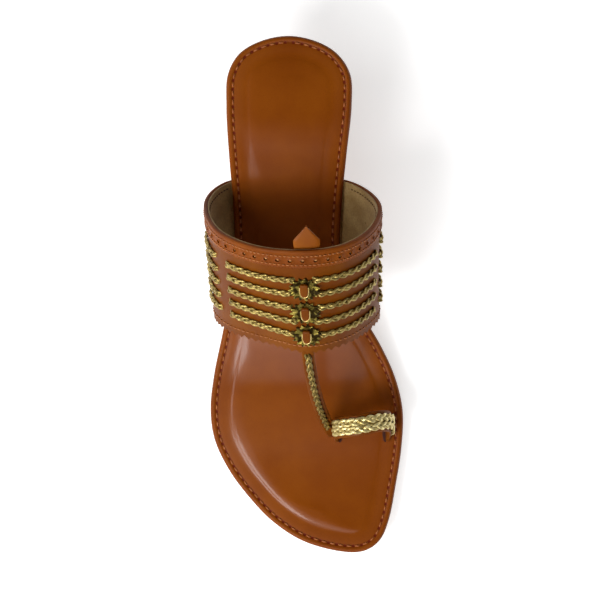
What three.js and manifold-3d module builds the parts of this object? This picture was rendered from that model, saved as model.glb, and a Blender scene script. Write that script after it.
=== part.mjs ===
// A right-foot toe-ring sandal on a block heel, in millimetres, +Z up.
//
// The toe points to -Y and the inner (medial) side of the foot is +X. The origin lies on the floor,
// in the middle of the flat under the ball of the foot. A "station" is a distance forward from the
// back of the heel, "across" runs from the outer side (-) to the inner side (+).

import * as THREE from "three";
import { mergeVertices } from "three/addons/utils/BufferGeometryUtils.js";
import Module from "manifold-3d";

const wasm = await Module();
wasm.setup();

const { clamp, lerp, smoothstep } = THREE.MathUtils;

// Driving dimensions of the last
const SOLE_LENGTH = 236;
const ORIGIN_STATION = 174;
const HEEL_RISE = 41;
const RAMP_START = 35;
const RAMP_END = 160;
const TOE_SPRING = 6;
const SPRING_START = 188;

// Layers of the bottom, from the floor up at the ball of the foot
const OUTSOLE_THICKNESS = 3.6;
const INSOLE_THICKNESS = 5.6;
const GAP = 0.3;
const STACK = OUTSOLE_THICKNESS + GAP + INSOLE_THICKNESS;

// Outsole: set in under the insole's wrapped edge, thinner behind the tread bar and before the toe line
const OUTSOLE_INSET = 1.2;
const OUTSOLE_BEVEL = 0.8;
const TREAD_BAR = { back: 129, front: 134, depth: 0.8 };
const TOE_LINE = { back: 220.5, front: 222, depth: 0.4 };

// Heel block and its top lift
const HEEL_AXIS_ACROSS = -5;
const HEEL_BACK_DEPTH = 24;
const HEEL_CORNER = 2.5;
const HEEL_ROUNDNESS = 2.3;
const LIFT_THICKNESS = 6;
const LIFT_BEVEL = 0.7;

// Upper: a wide band over the instep, a toe strap and a toe ring
const WALL = 2;
const CUFF_STEP = 0.6;
const CUFF_SHARE = 0.128;
const BAND_LENGTH = 54.5;
const COLLAR_STATION = 63.6;
const FRONT_STATION = 115.4;
const COLLAR_LEAN = 0.588;
const FRONT_LEAN = 0.52;
const TOOTH_PITCH = 3.8;
const TOOTH_DEPTH = 1.7;
const TONGUE_WIDTH = 11;
const TONGUE_ACROSS = 1.9;
const TONGUE_WALL = 1.5;
const TAB_LENGTH = 11.5;
const TAB_STRAIGHT = 4;
const STRAP_WIDTH = 5.6;
const STRAP_WALL = 2;
const RING_WIDTH = 9.7;
const RING_WALL = 2;
const LEG_END = 4.3;

// Trim: plaited cords in rows over the band, punched rosettes down its middle and a keeper on each.
// A span is measured round the band from its crown; "skew" lengthens it from each row to the next and
// "droop" draws its far end back towards the collar, more from row to row.
const CORD_ROWS = [0.272, 0.407, 0.542, 0.677, 0.812];
const CORD_WIDTH = 3.1;
const CORD_HEIGHT = 1.9;
const DROOP_REACH = 38;
const CORD_SPANS = [
  { name: "outer_side", from: -67, to: -45, skew: -0.7, droop: 0.009 },
  { name: "outer_top", from: -38, to: -6.6, skew: -0.3, droop: 0.009 },
  { name: "inner_top", from: 6.6, to: 41, skew: 0, droop: 0 },
  { name: "inner_side", from: 48, to: 66, skew: 0, droop: 0 },
];
const STRAP_CORD_WIDTH = 3.6;
const RING_CORD_WIDTH = 3.7;
const ROSETTE_ROWS = [0.36, 0.588, 0.813];
const ROSETTE = { across: 6.2, along: 5.9, points: 16, notch: 0.86, thickness: 0.9 };
const KEEPER = { across: 2.2, along: 3.3, thickness: 1.4 };

// The sole's edge, heel to toe on each side; the two lists share the heel back and the toe tip
const HEEL_BACK = { station: 0, across: -5.6 };
const TOE_TIP = { station: SOLE_LENGTH, across: 21.5 };
const OUTER_EDGE = [
  { station: 2.4, across: -18.3 },
  { station: 8, across: -27.6 },
  { station: 17, across: -32.5 },
  { station: 31, across: -33.2 },
  { station: 53, across: -32.2 },
  { station: 75, across: -31.1 },
  { station: 95, across: -31.4 },
  { station: 115, across: -34.3 },
  { station: 135, across: -39 },
  { station: 153, across: -43.1 },
  { station: 170, across: -44.9 },
  { station: 184, across: -43 },
  { station: 198, across: -36.4 },
  { station: 211, across: -26.6 },
  { station: 222.7, across: -14.7 },
  { station: 231.6, across: 0.5 },
];
const INNER_EDGE = [
  { station: 2.4, across: 6.8 },
  { station: 8, across: 16.3 },
  { station: 17, across: 22.1 },
  { station: 31, across: 22.8 },
  { station: 53, across: 20.4 },
  { station: 75, across: 18 },
  { station: 95, across: 17.1 },
  { station: 110, across: 19.9 },
  { station: 125, across: 27 },
  { station: 140, across: 35.6 },
  { station: 155, across: 42.2 },
  { station: 170, across: 45.6 },
  { station: 187, across: 45.1 },
  { station: 205, across: 42.4 },
  { station: 221, across: 39.2 },
  { station: 230, across: 35.3 },
  { station: 234.6, across: 29.5 },
];

// The band's outer face, row by row from the outer side over the instep to the inner side: where each
// row lies across and how far it rises from the sole joint, at the collar and at the front edge.
// "follow" is the share of the sole edge's own curve that the row keeps between the two.
const BAND_ROWS = [
  { row: "outer_margin", collarAcross: -22, collarUp: 0.8, frontAcross: -25, frontUp: 0.8, follow: 1 },
  { row: "outer_root", collarAcross: -31.2, collarUp: 0.6, frontAcross: -34, frontUp: 0.6, follow: 1 },
  { row: "outer_flare", collarAcross: -38.3, collarUp: 7.3, frontAcross: -38.6, frontUp: 7.5, follow: 0.6 },
  { row: "outer_side", collarAcross: -41.4, collarUp: 20, frontAcross: -39.8, frontUp: 21, follow: 0.2 },
  { row: "outer_shoulder", collarAcross: -34, collarUp: 40.5, frontAcross: -32, frontUp: 32, follow: 0 },
  { row: "outer_instep", collarAcross: -17, collarUp: 52.8, frontAcross: -14, frontUp: 42, follow: 0 },
  { row: "crown", collarAcross: 3.5, collarUp: 56, frontAcross: 4.2, frontUp: 49, follow: 0 },
  { row: "inner_instep", collarAcross: 20, collarUp: 52.2, frontAcross: 18.6, frontUp: 43.7, follow: 0 },
  { row: "inner_shoulder", collarAcross: 31.6, collarUp: 40.5, frontAcross: 29.5, frontUp: 32.6, follow: 0 },
  { row: "inner_side", collarAcross: 35.8, collarUp: 22.5, frontAcross: 35.4, frontUp: 19.6, follow: 0.2 },
  { row: "inner_flare", collarAcross: 29.5, collarUp: 8.8, frontAcross: 31.5, frontUp: 7, follow: 0.6 },
  { row: "inner_root", collarAcross: 18.8, collarUp: 0.6, frontAcross: 22, frontUp: 0.6, follow: 1 },
  { row: "inner_margin", collarAcross: 9.5, collarUp: 0.8, frontAcross: 13, frontUp: 0.8, follow: 1 },
];

// Middle lines of the toe strap and the toe ring
const STRAP_LINE = [
  { station: 132, across: 3.9, height: 65.5 },
  { station: 142, across: 4, height: 59.5 },
  { station: 158, across: 6.2, height: 45 },
  { station: 170, across: 9.2, height: 28.5 },
  { station: 177.5, across: 12, height: 16 },
  { station: 180.5, across: 13.4, height: 8.5 },
  { station: 180.5, across: 13.4, height: LEG_END },
];
const RING_LINE = [
  { station: 180, across: 16.2, height: LEG_END },
  { station: 180, across: 16.2, height: 10 },
  { station: 178, across: 15.9, height: 19 },
  { station: 176.4, across: 18, height: 28 },
  { station: 174.8, across: 25.6, height: 32.5 },
  { station: 173.2, across: 33.6, height: 30 },
  { station: 174, across: 38, height: 22.5 },
  { station: 179.2, across: 37.6, height: 11 },
  { station: 180, across: 37.4, height: LEG_END },
];
const STRAP_CORD_RUN = { from: 0.2, to: 0.6 };
const RING_CORD_RUN = { from: 0.375, to: 0.84 };

const COLOURS = {
  tan_leather: { color: 0x9a5420, roughness: 0.45, metalness: 0 },
  insole_leather: { color: 0x8a480f, roughness: 0.3, metalness: 0 },
  gold_cord: { color: 0xc9a75a, roughness: 0.32, metalness: 0.85 },
  gold_foil: { color: 0xb08d35, roughness: 0.25, metalness: 0.95 },
  sole_resin: { color: 0x7e572c, roughness: 0.5, metalness: 0 },
  lift_rubber: { color: 0xa67a3a, roughness: 0.6, metalness: 0 },
};

// Last: heights along the foot

function place(station, across, height) {
  return new THREE.Vector3(across, ORIGIN_STATION - station, height);
}

// Top of the insole's rim: a level heel seat, a smooth ramp through the waist, the ball, the toe spring.
function footbed(station) {
  const ramp = 1 - smoothstep(station, RAMP_START, RAMP_END);
  const spring = Math.max(0, station - SPRING_START) / (SOLE_LENGTH - SPRING_START);
  return STACK + HEEL_RISE * ramp + TOE_SPRING * spring ** 2;
}

function soleJoint(station) {
  return footbed(station) - INSOLE_THICKNESS;
}

function outsoleTop(station) {
  return soleJoint(station) - GAP;
}

// Underside of the outsole, with its two steps across the foot.
function tread(station) {
  const waist = TREAD_BAR.depth * (1 - clamp((station - TREAD_BAR.back) / (TREAD_BAR.front - TREAD_BAR.back), 0, 1));
  const toe = TOE_LINE.depth * clamp((station - TOE_LINE.back) / (TOE_LINE.front - TOE_LINE.back), 0, 1);
  return footbed(station) - STACK + waist + toe;
}

// Outline of the sole, a closed curve: heel back, outer edge, toe tip, inner edge

const outlineRows = [HEEL_BACK, ...OUTER_EDGE, TOE_TIP, ...INNER_EDGE.toReversed()];
const outline = new THREE.CatmullRomCurve3(
  outlineRows.map((row) => new THREE.Vector3(row.across, row.station, 0)),
  true,
  "centripetal",
);
const TOE_PARAMETER = (OUTER_EDGE.length + 1) / outlineRows.length;

// Parameter of the outline at a station on one side, found by halving.
function outlineParameter(side, station) {
  let near = side === "outer" ? 0 : 1;
  let far = TOE_PARAMETER;
  for (let halving = 0; halving < 40; halving += 1) {
    const middle = (near + far) / 2;
    if (outline.getPoint(middle).y < station) near = middle;
    else far = middle;
  }
  return near;
}

function edgeAcross(side, station) {
  return outline.getPoint(outlineParameter(side, station)).x;
}

// Stations of the sole's sections, close together at the round ends and exact at the tread's steps.
const SECTION_COUNT = 28;
const stations = [TREAD_BAR.back, TREAD_BAR.front, TOE_LINE.back, TOE_LINE.front, RAMP_END, SPRING_START];
for (let section = 1; section < SECTION_COUNT; section += 1) {
  const station = (SOLE_LENGTH * (1 - Math.cos((Math.PI * section) / SECTION_COUNT))) / 2;
  if (stations.every((other) => Math.abs(other - station) > 2.2)) stations.push(station);
}
stations.sort((a, b) => a - b);

// The rim: outline points in order round the sole, each with its inward direction.
const rim = [
  0,
  ...stations.map((station) => outlineParameter("outer", station)),
  TOE_PARAMETER,
  ...stations.toReversed().map((station) => outlineParameter("inner", station)),
].map((parameter) => {
  const point = outline.getPoint(parameter);
  const tangent = outline.getTangent(parameter);
  return { across: point.x, station: point.y, inAcross: tangent.y, inStation: -tangent.x };
});

function rimRing(inset, height) {
  return rim.map((edge) => {
    const station = edge.station + inset * edge.inStation;
    return place(station, edge.across + inset * edge.inAcross, height(station));
  });
}

// Meshes

// A closed mesh from points and triangles, turned so that its faces point out.
function closedGeometry(points, triangles) {
  let volume = 0;
  for (const [a, b, c] of triangles) {
    volume += points[a].dot(new THREE.Vector3().crossVectors(points[b], points[c]));
  }
  const outward = volume > 0 ? triangles : triangles.map(([a, b, c]) => [a, c, b]);
  const geometry = new THREE.BufferGeometry().setFromPoints(points);
  geometry.setIndex(outward.flat());
  return mergeVertices(geometry, 1e-5);
}

// Walls between equal rings of points, one after another.
function ringWalls(ringCount, size) {
  const triangles = [];
  for (let ring = 0; ring + 1 < ringCount; ring += 1) {
    for (let corner = 0; corner < size; corner += 1) {
      const next = (corner + 1) % size;
      const [a, b] = [ring * size + corner, ring * size + next];
      triangles.push([a, b, b + size], [a, b + size, a + size]);
    }
  }
  return triangles;
}

// A cap over one ring that runs down one side and back up the other: strips from side to side.
function pairedCap(start, size, turned) {
  const triangles = [];
  const half = size / 2;
  for (let corner = 0; corner < half; corner += 1) {
    const a = start + corner;
    const b = start + corner + 1;
    const c = start + ((size - corner - 1) % size);
    const d = start + ((size - corner) % size);
    if (b !== c) triangles.push([a, b, c]);
    if (a !== d) triangles.push([a, c, d]);
  }
  return turned ? triangles.map(([a, b, c]) => [a, c, b]) : triangles;
}

// A solid lofted through rings whose corner 0 and corner size / 2 are the two ends of the outline.
function pairedLoft(rings) {
  const size = rings[0].length;
  const last = (rings.length - 1) * size;
  const triangles = [
    ...pairedCap(0, size, true),
    ...ringWalls(rings.length, size),
    ...pairedCap(last, size, false),
  ];
  return closedGeometry(rings.flat(), triangles);
}

// A solid lofted through rings that are closed by a fan at each end.
function fanLoft(rings) {
  const size = rings[0].length;
  const points = rings.flat();
  const triangles = ringWalls(rings.length, size);
  for (const [ring, turned] of [[0, true], [rings.length - 1, false]]) {
    const centre = new THREE.Vector3();
    for (const point of rings[ring]) centre.addScaledVector(point, 1 / size);
    const hub = points.push(centre) - 1;
    for (let corner = 0; corner < size; corner += 1) {
      const a = ring * size + corner;
      const b = ring * size + ((corner + 1) % size);
      triangles.push(turned ? [b, a, hub] : [a, b, hub]);
    }
  }
  return closedGeometry(points, triangles);
}

function toSolid(geometry) {
  const mesh = new wasm.Mesh({
    numProp: 3,
    vertProperties: new Float32Array(geometry.getAttribute("position").array),
    triVerts: new Uint32Array(geometry.getIndex().array),
  });
  return new wasm.Manifold(mesh);
}

function toGeometry(solid) {
  const { vertProperties, triVerts, numProp } = solid.getMesh();
  const geometry = new THREE.BufferGeometry();
  const positions = [];
  for (let i = 0; i < vertProperties.length; i += numProp) {
    positions.push(vertProperties[i], vertProperties[i + 1], vertProperties[i + 2]);
  }
  geometry.setAttribute("position", new THREE.Float32BufferAttribute(positions, 3));
  geometry.setIndex([...triVerts]);
  return geometry;
}

// Bottom: outsole, insole, heel block and top lift

function outsoleGeometry() {
  const flat = OUTSOLE_INSET + 7;
  return pairedLoft([
    rimRing(flat, tread),
    rimRing(OUTSOLE_INSET + OUTSOLE_BEVEL, tread),
    rimRing(OUTSOLE_INSET, (station) => tread(station) + OUTSOLE_BEVEL),
    rimRing(OUTSOLE_INSET, outsoleTop),
    rimRing(flat, outsoleTop),
  ]);
}

// The padded insole: a rounded wrapped edge, a low rim, a stitched groove and a crowned cushion.
const INSOLE_SECTION = [
  { inset: 9, rise: -INSOLE_THICKNESS },
  { inset: 0.9, rise: -INSOLE_THICKNESS },
  { inset: 0, rise: -INSOLE_THICKNESS + 1.4 },
  { inset: 0.1, rise: -1.6 },
  { inset: 1, rise: -0.3 },
  { inset: 2.4, rise: 0 },
  { inset: 3.7, rise: -0.6 },
  { inset: 5.6, rise: 0.5 },
  { inset: 9, rise: 1.2 },
];

function insoleGeometry() {
  const rings = INSOLE_SECTION.map(({ inset, rise }) => rimRing(inset, (station) => footbed(station) + rise));
  return pairedLoft(rings);
}

// A heel outline at one level: a superelliptic back, straight sides and a flat breast.
function heelRing(halfWidth, back, breast, height) {
  const BACK_STEPS = 9;
  const half = [{ station: back, out: 0 }];
  for (let step = 1; step <= BACK_STEPS; step += 1) {
    const angle = (Math.PI / 2) * (1 - step / BACK_STEPS);
    const power = 2 / HEEL_ROUNDNESS;
    half.push({
      station: back + HEEL_BACK_DEPTH * (1 - Math.sin(angle) ** power),
      out: halfWidth * Math.cos(angle) ** power,
    });
  }
  half.push({ station: breast - HEEL_CORNER, out: halfWidth });
  half.push({ station: breast - HEEL_CORNER * 0.3, out: halfWidth - HEEL_CORNER * 0.3 });
  half.push({ station: breast, out: halfWidth - HEEL_CORNER });
  const corner = ({ station, out }, side) => {
    return place(station, HEEL_AXIS_ACROSS + side * out, height(station));
  };
  return [
    ...half.map((row) => corner(row, -1)),
    place(breast, HEEL_AXIS_ACROSS, height(breast)),
    ...half.slice(1).toReversed().map((row) => corner(row, 1)),
  ];
}

// Heel levels from the lift to the seat: half width, back and breast stations.
const HEEL_LEVELS = [
  { share: 0, halfWidth: 20.3, back: 9, breast: 54 },
  { share: 0.35, halfWidth: 20.9, back: 8.7, breast: 54.4 },
  { share: 0.7, halfWidth: 22, back: 8.2, breast: 55.6 },
  { share: 1, halfWidth: 23.4, back: 7.6, breast: 57.6 },
];

function heelGeometry() {
  const foot = LIFT_THICKNESS + GAP;
  const rings = HEEL_LEVELS.map(({ share, halfWidth, back, breast }) => {
    return heelRing(halfWidth, back, breast, (station) => lerp(foot, tread(station) - GAP, share));
  });
  return pairedLoft(rings);
}

function liftGeometry() {
  const { halfWidth, back, breast } = HEEL_LEVELS[0];
  const level = (inset, height) => heelRing(halfWidth - inset, back + inset, breast - inset, () => height);
  return pairedLoft([level(LIFT_BEVEL, 0), level(0, LIFT_BEVEL), level(0, LIFT_THICKNESS)]);
}

// Upper: the band's outer face as a surface of two parameters. "row" runs from 0 at the outer margin to
// 1 at the inner margin, "share" from 0 at the collar to 1 at the front edge.

function bandRowPoint(entry, share) {
  const station = lerp(COLLAR_STATION, FRONT_STATION, share);
  const side = entry.collarAcross < 0 ? "outer" : "inner";
  const chord = lerp(edgeAcross(side, COLLAR_STATION), edgeAcross(side, FRONT_STATION), share);
  const bow = entry.follow ? entry.follow * (edgeAcross(side, station) - chord) : 0;
  const across = lerp(entry.collarAcross, entry.frontAcross, share) + bow;
  const up = lerp(entry.collarUp, entry.frontUp, share);
  const lean = lerp(COLLAR_LEAN, FRONT_LEAN, share);
  return place(station + lean * up, across, soleJoint(station) + up);
}

const sections = new Map();

function bandSection(share) {
  if (!sections.has(share)) {
    const points = BAND_ROWS.map((entry) => bandRowPoint(entry, share));
    sections.set(share, new THREE.CatmullRomCurve3(points, false, "centripetal"));
  }
  return sections.get(share);
}

// A point of the band with its outward normal and its directions round and along the foot.
function bandFrame(row, share) {
  const STEP = 0.004;
  const point = bandSection(share).getPoint(row);
  const round = bandSection(share).getTangent(row);
  const ahead = bandSection(share + STEP).getPoint(row);
  const behind = bandSection(share - STEP).getPoint(row);
  const along = ahead.sub(behind).normalize();
  const normal = new THREE.Vector3().crossVectors(along, round).normalize();
  return { point, normal, side: along, round };
}

// Row parameter at a distance from the crown, measured round the middle of the band.
const MIDDLE_SHARE = 0.56;
const CROWN_ROW = 0.5;
const LENGTH_STEPS = 480;
const middleLengths = bandSection(MIDDLE_SHARE).getLengths(LENGTH_STEPS);
const crownLength = middleLengths[LENGTH_STEPS * CROWN_ROW];

function bandRow(distance) {
  const target = crownLength + distance;
  const index = middleLengths.findIndex((length) => length >= target);
  const [low, high] = [middleLengths[index - 1], middleLengths[index]];
  return (index - 1 + (target - low) / (high - low)) / LENGTH_STEPS;
}

function offset(frame, height) {
  return frame.point.clone().addScaledVector(frame.normal, height);
}

// A sheet with thickness: two grids of points, [column][line], joined round their border.
function sheetGeometry(outer, inner) {
  const columns = outer.length;
  const lines = outer[0].length;
  const points = [...outer.flat(), ...inner.flat()];
  const back = columns * lines;
  const triangles = [];
  const quad = (a, b, c, d) => triangles.push([a, b, c], [a, c, d]);
  for (let column = 0; column + 1 < columns; column += 1) {
    for (let line = 0; line + 1 < lines; line += 1) {
      const a = column * lines + line;
      quad(a, a + lines, a + lines + 1, a + 1);
      quad(back + a, back + a + 1, back + a + lines + 1, back + a + lines);
    }
    const [near, far] = [column * lines, column * lines + lines - 1];
    quad(near, back + near, back + near + lines, near + lines);
    quad(far, far + lines, back + far + lines, back + far);
  }
  const end = (columns - 1) * lines;
  for (let line = 0; line + 1 < lines; line += 1) {
    quad(line, line + 1, back + line + 1, back + line);
    quad(end + line, back + end + line, back + end + line + 1, end + line + 1);
  }
  return closedGeometry(points, triangles);
}

// The band: a cuff step along the collar and a pinked front edge, two columns to each tooth.
function bandGeometry() {
  const columnCount = 2 * Math.round(middleLengths[LENGTH_STEPS] / TOOTH_PITCH);
  const toothShare = TOOTH_DEPTH / BAND_LENGTH;
  const CUFF_EDGE = 0.004;
  const lines = [
    { share: 0, cuff: CUFF_STEP },
    { share: CUFF_SHARE, cuff: CUFF_STEP },
    { share: CUFF_SHARE + CUFF_EDGE, cuff: 0 },
    { share: 0.4, cuff: 0 },
    { share: 0.7, cuff: 0 },
    { share: 1 - toothShare, cuff: 0 },
    { share: 1, cuff: 0 },
  ];
  const [outer, inner] = [[], []];
  for (let column = 0; column <= columnCount; column += 1) {
    const row = column / columnCount;
    const visible = smoothstep(Math.min(row, 1 - row), 0.1, 0.13);
    const notch = column % 2 === 0 ? 0.96 * toothShare * visible : 0;
    const frames = lines.map(({ share }) => bandFrame(row, share === 1 ? 1 - notch : share));
    outer.push(frames.map((frame, line) => offset(frame, lines[line].cuff * visible)));
    inner.push(frames.map((frame) => offset(frame, -WALL)));
  }
  return sheetGeometry(outer, inner);
}

// Room in the insole for the lasting margin on one side: the foot of the band with clearance all round.
function rebateGeometry(marginRow, flareRow) {
  const COLUMNS = 12;
  const LINES = 6;
  const BELOW = 1.5;
  const spare = (1.3 * GAP) / BAND_LENGTH;
  const past = GAP * Math.sign(marginRow - flareRow);
  const [outer, inner] = [[], []];
  for (let column = 0; column <= COLUMNS; column += 1) {
    const frames = Array.from({ length: LINES + 1 }, (_, line) => {
      const frame = bandFrame(lerp(marginRow, flareRow, column / COLUMNS), lerp(-spare, 1 + spare, line / LINES));
      if (column === 0) frame.point.addScaledVector(frame.round, past);
      return frame;
    });
    outer.push(frames.map((frame) => offset(frame, BELOW)));
    inner.push(frames.map((frame) => offset(frame, -WALL - GAP)));
  }
  return sheetGeometry(outer, inner);
}

// A flat strip along frames, its section a rectangle under the frames' outer face.
function stripGeometry(frames, width, wall, lift = 0) {
  const rings = frames.map((frame, index) => {
    const half = (typeof width === "function" ? width(index / (frames.length - 1)) : width) / 2;
    const corner = (side, height) => offset(frame, height).addScaledVector(frame.side, side * half);
    return [corner(-1, lift), corner(1, lift), corner(1, lift + wall), corner(-1, lift + wall)];
  });
  return fanLoft(rings);
}

// The tongue: a strip inside the crown of the band that ends in a pointed tab behind the collar.
function tongueGeometry() {
  const tip = -TAB_LENGTH / BAND_LENGTH;
  const shoulder = -TAB_STRAIGHT / BAND_LENGTH;
  const POINT_WIDTH = 0.8;
  const shares = [tip, shoulder, 0, 0.2, 0.4, 0.6, 0.8, 0.97];
  const inside = -WALL - TONGUE_WALL;
  const OVERLAP = 0.3;
  const frames = shares.map((share) => {
    const frame = bandFrame(bandRow(TONGUE_ACROSS), share);
    return { point: offset(frame, inside), normal: frame.normal, side: frame.round };
  });
  const width = (run) => (run === 0 ? POINT_WIDTH : TONGUE_WIDTH);
  return stripGeometry(frames, width, TONGUE_WALL + OVERLAP);
}

function curveThrough(rows) {
  const points = rows.map(({ station, across, height }) => place(station, across, height));
  return new THREE.CatmullRomCurve3(points, false, "centripetal");
}

// Frames along a stretch of a curve whose width lies along a given direction.
function curveFrames(curve, steps, widthDirection, { from, to } = { from: 0, to: 1 }) {
  return Array.from({ length: steps + 1 }, (_, step) => {
    const run = lerp(from, to, step / steps);
    const point = curve.getPoint(run);
    const tangent = curve.getTangent(run);
    const side = widthDirection(tangent);
    const normal = new THREE.Vector3().crossVectors(tangent, side).normalize();
    return { point, normal, side };
  });
}

// The strap lies flat: its width is level and square to its run as seen from above.
const strapCurve = curveThrough(STRAP_LINE);
const strapRun = strapCurve.getPoint(1).sub(strapCurve.getPoint(0));
const strapWidthways = new THREE.Vector3(-strapRun.y, strapRun.x, 0).normalize();
const strapFrames = (steps, run) => curveFrames(strapCurve, steps, () => strapWidthways, run);

// The ring stands across the big toe: its width runs fore and aft.
const ringCurve = curveThrough(RING_LINE);
const ringWidthways = (tangent) => new THREE.Vector3(0, 1, 0).addScaledVector(tangent, -tangent.y).normalize();
const ringFrames = (steps, run) => curveFrames(ringCurve, steps, ringWidthways, run);
const STRAP_STEPS = 18;
const RING_STEPS = 24;

function upperGeometry() {
  const pieces = [
    bandGeometry(),
    tongueGeometry(),
    stripGeometry(strapFrames(STRAP_STEPS), STRAP_WIDTH, STRAP_WALL),
    stripGeometry(ringFrames(RING_STEPS), RING_WIDTH, RING_WALL),
  ];
  return toGeometry(pieces.map(toSolid).reduce((whole, piece) => whole.add(piece)));
}

// A slot for a strip's leg: the strip with clearance, carried on straight down through the insole.
function slotGeometry(frames, width, wall) {
  const DEPTH = 4;
  const deeper = (frame) => ({ ...frame, point: frame.point.clone().setZ(frame.point.z - DEPTH) });
  const ends = [frames[0], frames.at(-1)].map(deeper);
  const run = frames[0].point.z < STACK ? [ends[0], ...frames, ends[1]] : [...frames, ends[1]];
  return stripGeometry(run, width + 2 * GAP, wall + 2 * GAP, -GAP);
}

// The insole with rebates for the band's lasting margin and slots for the strap and the ring.
function fittedInsoleGeometry() {
  const cutters = [
    rebateGeometry(0, 0.21),
    rebateGeometry(1, 0.79),
    slotGeometry(strapFrames(STRAP_STEPS), STRAP_WIDTH, STRAP_WALL),
    slotGeometry(ringFrames(RING_STEPS), RING_WIDTH, RING_WALL),
  ];
  return toGeometry(cutters.map(toSolid).reduce((rest, cutter) => rest.subtract(cutter), toSolid(insoleGeometry())));
}

// Trim

// A plaited cord's outer form: a rounded section along frames, clear of what carries it.
const CORD_SECTION = [
  { side: -0.5, rise: 0.1 },
  { side: -0.42, rise: 0.6 },
  { side: -0.17, rise: 1 },
  { side: 0.17, rise: 1 },
  { side: 0.42, rise: 0.6 },
  { side: 0.5, rise: 0.1 },
  { side: 0.3, rise: 0 },
  { side: -0.3, rise: 0 },
];

function cordGeometry(frames, width, lift, sideways = 0) {
  const rings = frames.map((frame) => CORD_SECTION.map(({ side, rise }) => {
    const point = offset(frame, lift + rise * CORD_HEIGHT);
    return point.addScaledVector(frame.side, sideways + side * width);
  }));
  return fanLoft(rings);
}

function bandCordGeometry(index, { from, to, skew, droop }) {
  const STEPS = 7;
  const [start, end] = Math.abs(from) < Math.abs(to) ? [from, to + skew * index] : [from + skew * index, to];
  const frames = Array.from({ length: STEPS + 1 }, (_, step) => {
    const distance = lerp(start, end, step / STEPS);
    const share = CORD_ROWS[index] - droop * index * Math.min(1, Math.abs(distance) / DROOP_REACH);
    return bandFrame(bandRow(distance), share);
  });
  return cordGeometry(frames, CORD_WIDTH, GAP);
}

// A small plate on the crown of the band: rings of an outline given by angle, at rising heights.
function platePoint(share, across, along, lift) {
  const frame = bandFrame(bandRow(across), share + along / BAND_LENGTH);
  return offset(frame, lift);
}

function rosetteGeometry(share) {
  const corners = 2 * ROSETTE.points;
  const ring = (scale, lift) => Array.from({ length: corners }, (_, corner) => {
    const angle = (Math.PI * corner) / ROSETTE.points;
    const reach = scale * (corner % 2 ? ROSETTE.notch : 1);
    return platePoint(share, ROSETTE.across * reach * Math.cos(angle), ROSETTE.along * reach * Math.sin(angle), lift);
  });
  const [foot, top] = [GAP, GAP + ROSETTE.thickness];
  const MIDDLE = 0.45;
  return fanLoft([ring(MIDDLE, foot), ring(1, foot), ring(1, top), ring(MIDDLE, top)]);
}

function keeperGeometry(share) {
  const CORNERS = 16;
  const SQUARENESS = 0.75;
  const ring = (scale, lift) => Array.from({ length: CORNERS }, (_, corner) => {
    const angle = (2 * Math.PI * corner) / CORNERS;
    const [cosine, sine] = [Math.cos(angle), Math.sin(angle)];
    const across = KEEPER.across * scale * Math.sign(cosine) * Math.abs(cosine) ** SQUARENESS;
    const along = KEEPER.along * scale * Math.sign(sine) * Math.abs(sine) ** SQUARENESS;
    return platePoint(share, across, along, lift);
  });
  const base = GAP + ROSETTE.thickness + GAP;
  return fanLoft([ring(1, base), ring(1, base + KEEPER.thickness * 0.6), ring(0.8, base + KEEPER.thickness)]);
}

// Assembly

const sandal = new THREE.Group();
const materials = new Map(
  Object.entries(COLOURS).map(([name, look]) => [name, new THREE.MeshStandardMaterial({ name, ...look })]),
);

function addPiece(name, geometry, material) {
  geometry.computeVertexNormals();
  const mesh = new THREE.Mesh(geometry, materials.get(material));
  mesh.name = name;
  sandal.add(mesh);
}

addPiece("outsole", outsoleGeometry(), "sole_resin");
addPiece("insole", fittedInsoleGeometry(), "insole_leather");
addPiece("heel_block", heelGeometry(), "tan_leather");
addPiece("heel_lift", liftGeometry(), "lift_rubber");
addPiece("upper", upperGeometry(), "tan_leather");

CORD_ROWS.forEach((_, index) => {
  for (const span of CORD_SPANS) {
    addPiece(`cord_${span.name}_${index + 1}`, bandCordGeometry(index, span), "gold_cord");
  }
});

const strapCord = cordGeometry(strapFrames(9, STRAP_CORD_RUN), STRAP_CORD_WIDTH, STRAP_WALL + GAP);
addPiece("cord_strap", strapCord, "gold_cord");

for (const [name, side] of [["front", -1], ["back", 1]]) {
  const sideways = (side * (RING_CORD_WIDTH + GAP)) / 2;
  const cord = cordGeometry(ringFrames(12, RING_CORD_RUN), RING_CORD_WIDTH, RING_WALL + GAP, sideways);
  addPiece(`cord_ring_${name}`, cord, "gold_cord");
}

ROSETTE_ROWS.forEach((share, index) => {
  addPiece(`rosette_${index + 1}`, rosetteGeometry(share), "gold_foil");
  addPiece(`keeper_${index + 1}`, keeperGeometry(share), "tan_leather");
});

export default sandal;
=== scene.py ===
# %% [markdown]
# # A toe-ring sandal on a block heel
# This lesson dresses the plain solids of a right-foot sandal. The solids fix every size and place. Here each
# of them gets a finer surface worked out with numpy, and a finish made of shader nodes. Lengths are written
# in millimetres and become metres only when a mesh is made.

# %% Load the solids
from functools import cached_property

import bmesh
import bpy
import numpy as np
from mathutils import Matrix, Vector


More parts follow.
